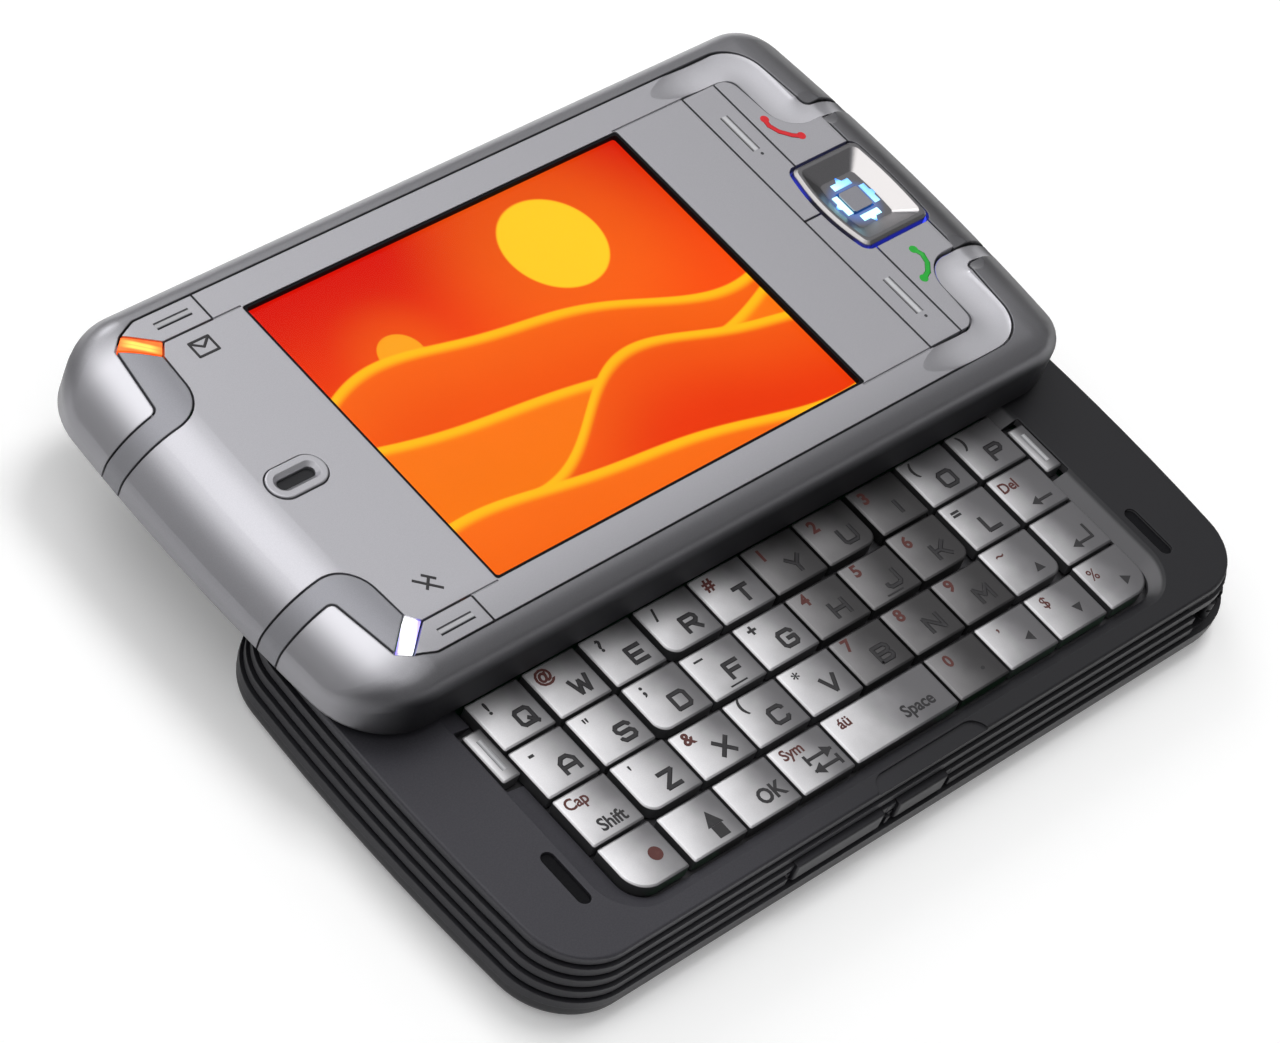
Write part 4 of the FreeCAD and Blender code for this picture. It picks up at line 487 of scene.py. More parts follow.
# the picture on the screen: warm dunes with thin lit crests under two soft discs
openingLow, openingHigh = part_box("screen_gasket")
screenPicture = dict(left=openingLow.x / mm, right=openingHigh.x / mm, low=openingLow.y / mm, high=openingHigh.y / mm,
                     glow=0.95, sky=(0.66, 0.005, 0.002), skyLow=(0.90, 0.075, 0.004), haze=(0.95, 0.19, 0.01),
                     sun=(1.0, 0.60, 0.02), crest=(1.0, 0.50, 0.01), crestDepth=0.045,
                     dunes=[((0.85, 0.085, 0.003), 0.60, 0.11, 4.6, 0.4), ((0.90, 0.18, 0.004), 0.45, 0.09, 3.7, 2.2),
                            ((0.80, 0.04, 0.002), 0.30, 0.12, 5.2, 4.1), ((0.88, 0.13, 0.004), 0.13, 0.08, 4.1, 0.9)])


def makeScreenMaterial():
    values = screenPicture
    material, tree, shader = newMaterial("screen_module")
    place = addNode(tree, "ShaderNodeTexCoord").outputs["Object"]
    parts = addNode(tree, "ShaderNodeSeparateXYZ")
    tree.links.new(place, parts.inputs[0])
    width = (values["right"] - values["left"]) * mm
    depth = (values["high"] - values["low"]) * mm
    u = mathNode(tree, "DIVIDE", mathNode(tree, "SUBTRACT", parts.outputs["X"], values["left"] * mm), width)
    v = mathNode(tree, "DIVIDE", mathNode(tree, "SUBTRACT", parts.outputs["Y"], values["low"] * mm), depth)
    picture = mixColour(tree, stepBetween(tree, v, 1.05, 0.45), values["sky"], values["skyLow"])
    for centreU, centreV, radius, strength in ((0.70, 0.80, 0.16, 1.0), (0.23, 0.70, 0.07, 0.55)):
        du = mathNode(tree, "MULTIPLY", mathNode(tree, "SUBTRACT", u, centreU), width / depth)
        dv = mathNode(tree, "SUBTRACT", v, centreV)
        distance = mathNode(tree, "SQRT", mathNode(tree, "ADD", mathNode(tree, "POWER", du, 2.0),
                                                   mathNode(tree, "POWER", dv, 2.0)))
        halo = mathNode(tree, "MULTIPLY", stepBetween(tree, distance, radius * 3.2, radius), 0.45 * strength)
        picture = mixColour(tree, halo, picture, values["haze"])
        disc = mathNode(tree, "MULTIPLY", stepBetween(tree, distance, radius, radius * 0.94), strength)
        picture = mixColour(tree, disc, picture, values["sun"])
    for colour, level, swing, waves, phase in values["dunes"]:
        wave = mathNode(tree, "SINE", mathNode(tree, "MULTIPLY_ADD", u, waves, phase))
        ripple = mathNode(tree, "SINE", mathNode(tree, "MULTIPLY_ADD", u, waves * 2.3, phase * 1.7))
        crest = mathNode(tree, "MULTIPLY_ADD", wave, swing,
                         mathNode(tree, "MULTIPLY_ADD", ripple, swing * 0.25, level))
        below = mathNode(tree, "SUBTRACT", crest, v)
        body = stepBetween(tree, below, 0.0, 0.008)
        crestLine = stepBetween(tree, below, values["crestDepth"], values["crestDepth"] * 0.35)
        warmed = mixColour(tree, stepBetween(tree, below, 0.30, 0.0, 0.0, 0.40), colour, values["haze"])
        lit = mixColour(tree, crestLine, warmed, values["crest"])
        picture = mixColour(tree, body, picture, lit)
    tree.links.new(picture, shader.inputs["Emission Color"])
    shader.inputs["Emission Strength"].default_value = values["glow"]
    tree.links.new(mixColour(tree, 0.9, picture, (0.02, 0.02, 0.02)), shader.inputs["Base Color"])
    shader.inputs["Roughness"].default_value = 0.4
    return material


materials["screen_module"] = makeScreenMaterial()


def placeAlong(tree, x, y, alongX, alongY):
    # how far a point lies along one way on the plan from a spot, in mm
    shifted = addNode(tree, "ShaderNodeVectorMath", operation="SUBTRACT")
    tree.links.new(addNode(tree, "ShaderNodeTexCoord").outputs["Object"], shifted.inputs[0])
    shifted.inputs[1].default_value = (x * mm, y * mm, 0)
    dot = addNode(tree, "ShaderNodeVectorMath", operation="DOT_PRODUCT")
    tree.links.new(shifted.outputs[0], dot.inputs[0])
    dot.inputs[1].default_value = (alongX / mm, alongY / mm, 0)
    return dot.outputs["Value"]


def makeLampMaterial(name, core, edge, strength, mask):
    # a lit lens: its core colour where the mask is 1, the edge colour where it is 0
    material, tree, shader = newMaterial(name)
    place = addNode(tree, "ShaderNodeTexCoord").outputs["Object"]
    mottled = mathNode(tree, "MULTIPLY_ADD", noiseAt(tree, place, 900.0, 2.0), 0.2, -0.06)
    level = mathNode(tree, "ADD", mask(tree), mottled, clamp=True)
    lit = mixColour(tree, level, edge, core)
    tree.links.new(lit, shader.inputs["Base Color"])
    tree.links.new(lit, shader.inputs["Emission Color"])
    shader.inputs["Emission Strength"].default_value = strength
    shader.inputs["Roughness"].default_value = 0.3
    return material


def boxMiddle(node):
    low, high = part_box(node)
    return (low.x + high.x) / 2 / mm, (low.y + high.y) / 2 / mm


glyph = dict(floorDrop=1.29, reachX=2.35, reachY=2.65, barLength=3.5, barWidth=0.95, head=0.80)
amberX, amberY = boxMiddle("status_lamp_left")
violetX, violetY = boxMiddle("status_lamp_right")
navX, navY = boxMiddle("nav_key")


def amberStripe(tree):
    # two bright stripes along the lamp
    across = mathNode(tree, "ABSOLUTE", placeAlong(tree, amberX, amberY, 0.707, 0.707))
    stripes = stepBetween(tree, mathNode(tree, "ABSOLUTE", mathNode(tree, "SUBTRACT", across, 0.24)), 0.42, 0.10)
    return mathNode(tree, "MULTIPLY", stripes, stepBetween(tree, distanceFrom(tree, amberX, amberY), 2.8, 0.8))


def violetCore(tree):
    across = mathNode(tree, "ABSOLUTE", placeAlong(tree, violetX, violetY, 0.707, -0.707))
    return stepBetween(tree, across, 1.0, 0.5)


def ringLit(tree):
    # bright along the near long side and at one corner, dim elsewhere
    side = stepBetween(tree, placeAlong(tree, navX, navY, 0, 1), -4.6, -5.4)
    corner = stepBetween(tree, distanceFrom(tree, navX - 5.0, navY + 4.6), 2.6, 1.4)
    return mathNode(tree, "MAXIMUM", side, corner)


def glyphNear(tree):
    # palest along the middle of the near bars, bluer at their rims and on the far side
    near = stepBetween(tree, placeAlong(tree, navX, navY, 0.8, 0.5), 2.6, -0.8, 0.3, 1.0)
    reach = [mathNode(tree, "DIVIDE", mathNode(tree, "ABSOLUTE", placeAlong(tree, navX, navY, *way)), size)
             for way, size in (((1, 0), glyph["reachX"]), ((0, 1), glyph["reachY"]))]
    ring = mathNode(tree, "ABSOLUTE", mathNode(tree, "SUBTRACT", mathNode(tree, "MAXIMUM", *reach), 1.0))
    return mathNode(tree, "MULTIPLY", near, stepBetween(tree, ring, 0.45, 0.16))


materials["lamp_amber"] = makeLampMaterial("lamp_amber", (1.0, 0.46, 0.07), (1.0, 0.10, 0.008), 1.0, amberStripe)
materials["lamp_violet"] = makeLampMaterial("lamp_violet", (1.0, 1.0, 1.0), (0.30, 0.24, 1.0), 1.3, violetCore)
materials["lamp_blue"] = makeLampMaterial("lamp_blue", (0.03, 0.05, 0.80), (0.004, 0.005, 0.02), 1.0, ringLit)
materials["glyph_cyan"] = makeLampMaterial("glyph_cyan", (0.50, 0.95, 1.0), (0.01, 0.15, 0.80), 1.2, glyphNear)


def addNavGlow():
    # blue light from the glyph, spread over the floor of the dish
    tree = materials["nav_metal"].node_tree
    shader = tree.nodes["Principled BSDF"]
    halo = stepBetween(tree, distanceFrom(tree, navX - 0.5, navY - 0.3), 4.0, 2.0)
    tree.links.new(mixColour(tree, halo, (0, 0, 0), (0.01, 0.10, 0.42)), shader.inputs["Emission Color"])
    shader.inputs["Emission Strength"].default_value = 0.9


addNavGlow()


def makeBoardMaterial():
    material, tree, shader = newMaterial("circuit_board")
    place = addNode(tree, "ShaderNodeTexCoord").outputs["Object"]
    cells = addNode(tree, "ShaderNodeTexVoronoi", {"Scale": 420.0, "Randomness": 0.35}, distance="MANHATTAN")
    tree.links.new(place, cells.inputs["Vector"])
    tracks = stepBetween(tree, cells.outputs["Distance"], 0.50, 0.56)
    green = mixColour(tree, tracks, (0.010, 0.085, 0.035), (0.020, 0.15, 0.06))
    pads = stepBetween(tree, cells.outputs["Distance"], 0.12, 0.08)
    tree.links.new(mixColour(tree, pads, green, (0.75, 0.55, 0.22)), shader.inputs["Base Color"])
    tree.links.new(pads, shader.inputs["Metallic"])
    shader.inputs["Roughness"].default_value = 0.35
    bumped = addNode(tree, "ShaderNodeBump", {"Strength": 0.3, "Distance": 0.00005})
    tree.links.new(tracks, bumped.inputs["Height"])
    tree.links.new(bumped.outputs[0], shader.inputs["Normal"])
    return material


materials["circuit_board"] = makeBoardMaterial()


def makeInk(name, colour, faded):
    material, tree, shader = newMaterial(name)
    place = addNode(tree, "ShaderNodeTexCoord").outputs["Object"]
    rubbed = stepBetween(tree, noiseAt(tree, place, 900.0, 4.0, 0.6), 0.55, 0.75)
    tree.links.new(mixColour(tree, mathNode(tree, "MULTIPLY", rubbed, 0.6), colour, faded),
                   shader.inputs["Base Color"])
    shader.inputs["Roughness"].default_value = 0.5
    return material


materials["ink_dark"] = makeInk("ink_dark", (0.014, 0.013, 0.015), (0.035, 0.033, 0.036))
materials["ink_rust"] = makeInk("ink_rust", (0.075, 0.016, 0.013), (0.11, 0.035, 0.03))
materials["ink_red"] = makeInk("ink_red", (0.62, 0.012, 0.02), (0.7, 0.08, 0.08))
materials["ink_green"] = makeInk("ink_green", (0.01, 0.36, 0.03), (0.06, 0.45, 0.08))
materials["mark_pale"] = makeInk("mark_pale", (0.44, 0.44, 0.46), (0.40, 0.40, 0.42))
materials["mark_light"] = makeInk("mark_light", (0.56, 0.56, 0.58), (0.52, 0.52, 0.54))
materials["mark_edge"] = makeInk("mark_edge", (0.19, 0.19, 0.20), (0.17, 0.17, 0.18))
materials["mark_slot"] = makeInk("mark_slot", (0.03, 0.03, 0.035), (0.05, 0.05, 0.05))
print("finishes made:", len(materials))

ownFinish = {key: key for key in ("key_space", "wing_key_left", "wing_key_right")}
ownFinish["select_key"] = "select_metal"
ownFinish["earpiece_ring"] = "face_key_paint"
for faceKey in ("call_key", "end_key", "soft_key_left", "soft_key_right", "top_key_left", "top_key_right"):
    ownFinish[faceKey] = "face_key_paint"
for name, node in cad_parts.items():
    for index, slot in enumerate(node.data.materials):
        node.data.materials[index] = materials[ownFinish.get(name, slot.name.split(".")[0])]


def deselectAll():
    for thing in bpy.context.selected_objects:
        thing.select_set(False)


def activeOnly(thing):
    deselectAll()
    thing.select_set(True)
    bpy.context.view_layer.objects.active = thing


def applyPlace(thing):
    activeOnly(thing)
    bpy.ops.object.transform_apply(location=True, rotation=True, scale=True)


def joinPieces(pieces, name, material):
    deselectAll()
    for piece in pieces:
        piece.select_set(True)
    bpy.context.view_layer.objects.active = pieces[0]
    if len(pieces) > 1:
        bpy.ops.object.join()
    joined = bpy.context.active_object
    joined.name = name
    joined.data.materials.clear()
    joined.data.materials.append(materials[material])
    return joined


def centreAt(thing, x, y, z):
    # moves the middle of a flat mark to x, y (mm), its underside to z
    points = [vertex.co for vertex in thing.data.vertices]
    low = Vector([min(point[i] for point in points) for i in range(3)])
    high = Vector([max(point[i] for point in points) for i in range(3)])
    middle = (low + high) / 2
    thing.location = Vector((x * mm - middle.x, y * mm - middle.y, z * mm - low.z))
    applyPlace(thing)
    return thing


inkThickness = 0.012


def printedText(text, x, y, z, height, widen=1.12, bold=0.0):
    # capitals of this height in mm, centred at x, y
    deselectAll()
    bpy.ops.object.text_add()
    words = bpy.context.active_object
    words.data.body = text
    words.data.size = height * mm / 0.70
    words.data.offset = bold * mm
    words.data.extrude = inkThickness * mm / 2
    words.data.resolution_u = 3
    words.data.space_character = 0.98
    bpy.ops.object.convert(target="MESH")
    words = bpy.context.active_object
    words.scale = (widen, 1, 1)
    applyPlace(words)
    return centreAt(words, x, y, z)


def strokeRuns(runs, width, z):
    # flat strokes along runs of (x, y) points in mm, lying at height z; sharp corners keep their width
    deselectAll()
    bpy.ops.curve.primitive_bezier_curve_add()
    line = bpy.context.active_object
    line.data.splines.clear()
    stretches = [pair for run in runs for pair in zip(run, run[1:])]
    for index, (start, end) in enumerate(stretches):
        start, end = Vector(start), Vector(end)
        overlap = (end - start).normalized() * width * (0.28 if len(stretches) > 1 else 0.0)
        spline = line.data.splines.new("POLY")
        spline.points.add(1)
        for point, spot in zip(spline.points, (start - overlap, end + overlap)):
            point.co = (spot.x * mm, spot.y * mm, (index % 3) * 0.1 * width * mm, 1)
    line.data.bevel_depth = width * mm / 2
    line.data.bevel_resolution = 1
    line.data.use_fill_caps = True
    bpy.ops.object.convert(target="MESH")
    line = bpy.context.active_object
    line.scale = (1, 1, inkThickness / width)
    line.location = (0, 0, (z + inkThickness / 2) * mm)
    applyPlace(line)
    return line


def printedShape(x, y, z, size, turn, corners=3):
    # a filled flat shape with this many corners, the first pointing along turn (degrees)
    deselectAll()
    bpy.ops.mesh.primitive_circle_add(vertices=corners, radius=size * mm, fill_type="NGON",
                                      location=(x * mm, y * mm, z * mm),
                                      rotation=(0, 0, math.radians(turn - 90)))
    bpy.ops.object.mode_set(mode="EDIT")
    bpy.ops.mesh.select_all(action="SELECT")
    bpy.ops.mesh.extrude_region_move(TRANSFORM_OT_translate={"value": (0, 0, inkThickness * mm)})
    bpy.ops.mesh.select_all(action="SELECT")
    bpy.ops.mesh.normals_make_consistent(inside=False)
    bpy.ops.object.mode_set(mode="OBJECT")
    shape = bpy.context.active_object
    applyPlace(shape)
    return shape


# strokes of the squarish key letters, in a unit box
def letterRuns(letter):
    cut = 0.16
    ring = [(cut, 0), (1 - cut, 0), (1, cut), (1, 1 - cut), (1 - cut, 1), (cut, 1), (0, 1 - cut), (0, cut), (cut, 0)]
    bowl = [(0, 1), (1 - cut, 1), (1, 1 - cut), (1, 0.5 + cut), (1 - cut, 0.5), (0, 0.5)]
    shapes = {
        "A": [[(0, 0), (0, 0.7), (0.3, 1), (0.7, 1), (1, 0.7), (1, 0)], [(0, 0.38), (1, 0.38)]],
        "B": [[(0, 0)] + bowl, [(0.8, 0.5), (1, 0.5 - cut), (1, cut), (1 - cut, 0), (0, 0)]],
        "C": [[(1, 0.8), (1, 1 - cut), (1 - cut, 1), (cut, 1), (0, 1 - cut), (0, cut), (cut, 0), (1 - cut, 0),
               (1, cut), (1, 0.2)]],
        "D": [[(0, 0), (0, 1), (1 - cut, 1), (1, 1 - cut), (1, cut), (1 - cut, 0), (0, 0)]],
        "E": [[(1, 1), (0, 1), (0, 0), (1, 0)], [(0, 0.5), (0.9, 0.5)]],
        "F": [[(1, 1), (0, 1), (0, 0)], [(0, 0.5), (0.85, 0.5)]],
        "G": [[(1, 0.8), (1, 1 - cut), (1 - cut, 1), (cut, 1), (0, 1 - cut), (0, cut), (cut, 0), (1 - cut, 0),
               (1, cut), (1, 0.48), (0.5, 0.48)]],
        "H": [[(0, 0), (0, 1)], [(1, 0), (1, 1)], [(0, 0.5), (1, 0.5)]],
        "I": [[(0.5, 0), (0.5, 1)]],
        "J": [[(1, 1), (1, cut), (1 - cut, 0), (cut, 0), (0, cut), (0, 0.3)]],
        "K": [[(0, 0), (0, 1)], [(1, 1), (0.45, 0.52), (0, 0.52)], [(0.45, 0.52), (1, 0)]],
        "L": [[(0, 1), (0, 0), (0.95, 0)]],
        "M": [[(0, 0), (0, 1), (0.5, 0.4), (1, 1), (1, 0)]],
        "N": [[(0, 0), (0, 1), (1, 0), (1, 1)]],
        "O": [ring],
        "P": [[(0, 0)] + [(0, 1)] + bowl[1:-1] + [(0, 0.5)]],
        "Q": [ring, [(0.62, 0.34), (1.08, -0.1)]],
        "R": [[(0, 0)] + [(0, 1)] + bowl[1:-1] + [(0, 0.5)], [(0.5, 0.5), (1, 0)]],
        "S": [[(1, 0.82), (1, 1 - cut), (1 - cut, 1), (cut, 1), (0, 1 - cut), (0, 0.5 + cut), (cut, 0.5),
               (1 - cut, 0.5), (1, 0.5 - cut), (1, cut), (1 - cut, 0), (cut, 0), (0, cut), (0, 0.18)]],
        "T": [[(0, 1), (1, 1)], [(0.5, 1), (0.5, 0)]],
        "U": [[(0, 1), (0, cut), (cut, 0), (1 - cut, 0), (1, cut), (1, 1)]],
        "V": [[(0, 1), (0.5, 0), (1, 1)]],
        "W": [[(-0.1, 1), (0.2, 0), (0.5, 0.8), (0.8, 0), (1.1, 1)]],
        "X": [[(0, 0), (1, 1)], [(0, 1), (1, 0)]],
        "Y": [[(0, 1), (0.5, 0.48), (1, 1)], [(0.5, 0.48), (0.5, 0)]],
        "Z": [[(0, 1), (1, 1), (0, 0), (1, 0)]],
    }
    return shapes[letter]


def printedLetter(letter, x, y, z, height, width, stroke):
    runs = [[(x + (u - 0.5) * width, y + (v - 0.5) * height) for u, v in run] for run in letterRuns(letter)]
    return strokeRuns(runs, stroke, z)


# places of the legends inside a key's cell, in mm
legends = dict(mainHeight=2.0, mainWidth=2.0, mainStroke=0.56, secondHeight=1.6, secondBold=0.08, mainAcross=5.3, mainDown=4.75, secondAcross=2.2,
               secondDown=1.85, gap=0.004)
letterRows = [
    ("QWERTYUIOP", "!@?/#123()"),
    ("ASDFGHJKL", "-\";_+456="),
    ("ZXCVBNM", "'&(*789"),
]
rowStart = [0, 0, 1]
numberColumns = (5, 6, 7)


def keySpot(column, row, across, down):
    return (keyboard["left"] + keyboard["pitchX"] * column + across,
            keyboard["top"] - keyboard["pitchY"] * row - down)


def topOf(node):
    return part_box(node)[1].z / mm + legends["gap"]


def addLegend(parts, colour, piece):
    parts.setdefault(colour, []).append(piece)


def finishLegends(parts, body):
    for colour, pieces in parts.items():
        joined = joinPieces(pieces, "legend." + body.replace("_body", "") + "." + colour, colour)
        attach(joined, body)


for row, (letters, seconds) in enumerate(letterRows):
    for group in ("letters", "numbers"):
        parts = {}
        node = "keys_row%d_%s" % (row + 1, group)
        z = topOf(node)
        for offset, (letter, second) in enumerate(zip(letters, seconds)):
            column = rowStart[row] + offset
            if (column in numberColumns) != (group == "numbers"):
                continue
            x, y = keySpot(column, row, legends["mainAcross"], legends["mainDown"])
            addLegend(parts, "ink_dark", printedLetter(letter, x, y, z, legends["mainHeight"],
                                                        legends["mainWidth"], legends["mainStroke"]))
            x, y = keySpot(column, row, legends["secondAcross"], legends["secondDown"])
            tall = legends["secondHeight"]
            if second in "'\"":
                y += 0.45
            addLegend(parts, "ink_rust" if second in "@#&0123456789" else "ink_dark",
                      printedText(second, x, y, z, tall, 1.05, 0.03 if second in "\"'*" else legends["secondBold"]))
            if letter in "FJ":
                x, y = keySpot(column, row, legends["mainAcross"] - 0.9, 6.5)
                addLegend(parts, "ink_dark", strokeRuns([[(x - 1.3, y), (x + 1.3, y)]], 0.22, z))
        finishLegends(parts, node + "_body")

# arrow strokes are runs of points in mm
parts = {"ink_dark": [printedText("Shift", -38.5, -14.6, topOf("key_shift"), 1.6, 0.98, 0.06)],
         "ink_rust": [printedText("Cap", -40.5, -11.0, topOf("key_shift"), 1.45, 0.98, 0.05)]}
finishLegends(parts, "key_shift_body")

z = topOf("key_function")
finishLegends({"ink_rust": [printedShape(-37.4, -20.5, z, 0.9, 0, corners=24)]}, "key_function_body")

z = topOf("key_home")
house = [printedShape(-28.8, -20.6, z, 1.35, 90), printedShape(-28.8, -22.1, z, 1.15, 45, corners=4)]
finishLegends({"ink_dark": house}, "key_home_body")

z = topOf("key_ok")
finishLegends({"ink_dark": [printedText("OK", -20.2, -21.3, z, 1.9, 0.95, 0.09)]}, "key_ok_body")

z = topOf("key_symbol")
tabs = strokeRuns([[(-13.6, -20.4), (-9.9, -20.4)], [(-13.6, -19.8), (-13.6, -21.0)],
                   [(-13.6, -22.0), (-9.9, -22.0)], [(-9.9, -21.4), (-9.9, -22.6)]], 0.42, z)
heads = [printedShape(-10.6, -20.4, z, 0.95, 0), printedShape(-12.9, -22.0, z, 0.95, 180)]
finishLegends({"ink_rust": [printedText("Sym", -14.3, -18.7, z, 1.4, 0.98, 0.05)], "ink_dark": [tabs] + heads},
              "key_symbol_body")

z = topOf("key_space")
finishLegends({"ink_rust": [printedText("áü", -6.0, -18.7, z, 1.35, 1.05, 0.05)],
               "ink_dark": [printedText("Space", 3.6, -21.6, z, 1.6, 0.95, 0.06)]}, "key_space_body")

z = topOf("key_zero")
finishLegends({"ink_rust": [printedText("0", 11.3, -18.8, z, 1.55, 1.0, 0.07)],
               "ink_dark": [printedText(".", 14.4, -21.6, z, 1.9, 1.2, 0.08)]}, "key_zero_body")

z = topOf("keys_arrows")
finishLegends({"ink_rust": [printedText(",", 19.9, -18.8, z, 1.55, 1.0, 0.03),
                            printedText("$", 28.1, -18.8, z, 1.55, 1.0, 0.02),
                            printedText("%", 36.6, -18.8, z, 1.55, 0.95, 0.02),
                            printedText("~", 28.2, -11.0, z, 1.55, 1.0, 0.03)],
               "ink_dark": [printedShape(22.9, -21.3, z, 0.85, 180), printedShape(31.4, -21.2, z, 0.85, 270),
                            printedShape(39.9, -21.3, z, 0.85, 0), printedShape(31.5, -14.6, z, 0.85, 90)]},
              "keys_arrows_body")

z = topOf("key_delete")
finishLegends({"ink_rust": [printedText("Del", 37.0, -3.9, z, 1.45, 0.95, 0.05)],
               "ink_dark": [strokeRuns([[(38.4, -7.4), (41.2, -7.4)]], 0.4, z),
                            printedShape(38.6, -7.4, z, 0.85, 180)]}, "key_delete_body")

z = topOf("key_enter")
finishLegends({"ink_dark": [strokeRuns([[(38.6, -14.6), (41.0, -14.6), (41.0, -12.7)]], 0.4, z),
                            printedShape(38.4, -14.6, z, 0.85, 180)]}, "key_enter_body")
print("key legends placed")

# slots and pictograms of the face
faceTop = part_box("front_cover")[1].z / mm + 0.004
marks = dict(topX=-42.9, topSide=24.35, topLength=5.0, topWidth=1.05, softX=38.2, softSide=14.5, softLength=6.0,
             softWidth=1.25, line=0.22, layer=0.006)


def rideOn(piece, body):
    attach(piece, body)


def slotMark(name, ends, width, z, outline, inner, body):
    # a pill-shaped slot drawn flat: its darker outline is painted shade at the rim and the lighter field inside it is
    # painted light
    frameStroke = joinPieces([strokeRuns([ends], width, z)], name + "_outline", outline)
    rideOn(frameStroke, body)
    field = strokeRuns([ends], width - 2 * marks["line"], z + marks["layer"])
    rideOn(joinPieces([field], name + "_field", inner), body)


for side, label in ((1, "left"), (-1, "right")):
    node = "top_key_" + label
    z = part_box(node)[1].z / mm + 0.004
    y = centreY + side * marks["topSide"]
    half = marks["topLength"] / 2
    slotMark("slot_top_" + label, [(marks["topX"] - half, y), (marks["topX"] + half, y)], marks["topWidth"], z,
             "mark_slot", "mark_pale", node + "_body")
    node = "soft_key_" + label
    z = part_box(node)[1].z / mm + 0.004
    y = centreY + side * marks["softSide"]
    half = marks["softLength"] / 2
    slotMark("slot_soft_" + label, [(marks["softX"], y - half), (marks["softX"], y + half)], marks["softWidth"], z,
             "mark_edge", "mark_light", node + "_body")
    dot = printedShape(marks["softX"] + 0.25, y - half - 0.75, z, 0.22, 0, corners=12)
    rideOn(joinPieces([dot], "dot_soft_" + label, "mark_slot"), node + "_body")

for label in ("left", "right"):
    node = "wing_key_" + label
    x, y = boxMiddle(node)
    slotMark("slot_wing_" + label, [(x, y - 2.2), (x, y + 2.2)], 0.75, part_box(node)[1].z / mm + 0.004,
             "mark_pale", "mark_light", node + "_body")

# handset strokes on the call and end keys
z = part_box("end_key")[1].z / mm + 0.004
endMark = strokeRuns([[(42.7, centreY + 15.0), (42.5, centreY + 13.7), (43.0, centreY + 12.4),
                       (44.1, centreY + 11.2), (45.3, centreY + 10.4)]], 0.72, z)
ends = [printedShape(42.75, centreY + 14.8, z, 0.58, 0, corners=14),
        printedShape(45.15, centreY + 10.6, z, 0.58, 0, corners=14)]
rideOn(joinPieces([endMark] + ends, "mark_end", "ink_red"), "end_key_body")
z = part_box("call_key")[1].z / mm + 0.004
callMark = strokeRuns([[(44.7, centreY - 9.6), (45.2, centreY - 10.9), (44.8, centreY - 12.2),
                        (43.8, centreY - 13.3), (42.4, centreY - 13.9)]], 0.72, z)
ends = [printedShape(44.75, centreY - 9.8, z, 0.58, 0, corners=14),
        printedShape(42.6, centreY - 13.8, z, 0.58, 0, corners=14)]
rideOn(joinPieces([callMark] + ends, "mark_call", "ink_green"), "call_key_body")

# envelope and camera-like pictograms beside the top keys
iconY = centreY + 19.6
envelope = strokeRuns([[(-43.7, iconY - 1.1), (-40.9, iconY - 1.1), (-40.9, iconY + 1.0), (-43.7, iconY + 1.0),
                        (-43.7, iconY - 1.1)], [(-43.6, iconY + 0.9), (-42.3, iconY - 0.1), (-41.0, iconY + 0.9)]],
                      0.34, faceTop)
rideOn(joinPieces([envelope], "icon_messages", "ink_dark"), "display_half")
iconY = centreY - 18.7
signal = strokeRuns([[(-43.3, iconY + 1.2), (-40.9, iconY - 1.2)], [(-42.6, iconY - 0.5), (-41.3, iconY + 0.8)],
                     [(-41.9, iconY + 1.3), (-40.8, iconY + 0.2)]], 0.36, faceTop)
rideOn(joinPieces([signal], "icon_signal", "ink_dark"), "display_half")
print("face marks placed")

# four lit bars round the select key, each with an arrow pointing outwards


def glyphBar(turn):
    angle = math.radians(turn)
    wayX, wayY = math.cos(angle), math.sin(angle)
    reach = abs(glyph["reachX"] * wayX) + abs(glyph["reachY"] * wayY)
    x, y = navX + reach * wayX, navY + reach * wayY
    half = glyph["barLength"] / 2 - glyph["barWidth"] / 4
    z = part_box("nav_key")[1].z / mm - glyph["floorDrop"]
    bar = strokeRuns([[(x - half * wayY, y + half * wayX), (x + half * wayY, y - half * wayX)]], glyph["barWidth"], z)
    head = printedShape(x + 0.45 * wayX, y + 0.45 * wayY, z, glyph["head"], turn)
    return [bar, head]


glyphParts = [part for turn in (0, 90, 180, 270) for part in glyphBar(turn)]
rideOn(joinPieces(glyphParts, "glyph_navigation", "glyph_cyan"), "nav_key_body")
print("navigation glyph placed")

# floor, studio light and camera
studio = dict(floorColour=(0.93, 0.93, 0.93), floorGlow=0.17, farGlow=0.75, glowSpread=(0.22, 0.60), worldLevel=0.34, westSpread=(0.42, 0.72, 1.0, 0.68),
              brightWay=(-0.33, 0.30, 0.89), brightSpread=(0.46, 0.60, 0.36, 1.12),
              glareSpread=(0.80, 0.95, 0.0, 0.12),
              dimWay=(0.85, -0.5, 0.0), dimSpread=(0.32, 0.85, 0.0, 0.75), dimTop=(0.30, 0.12))

deselectAll()
bpy.ops.mesh.primitive_plane_add(size=1.0, location=(0, 0, -0.05 * mm))
floor = bpy.context.active_object
floor.name = "studio_floor"
floor.scale = (6, 6, 1)
applyPlace(floor)
material, tree, shader = newMaterial("studio_floor")
shader.inputs["Base Color"].default_value = (*studio["floorColour"], 1)
shader.inputs["Roughness"].default_value = 0.9
shader.inputs["Specular IOR Level"].default_value = 0.1
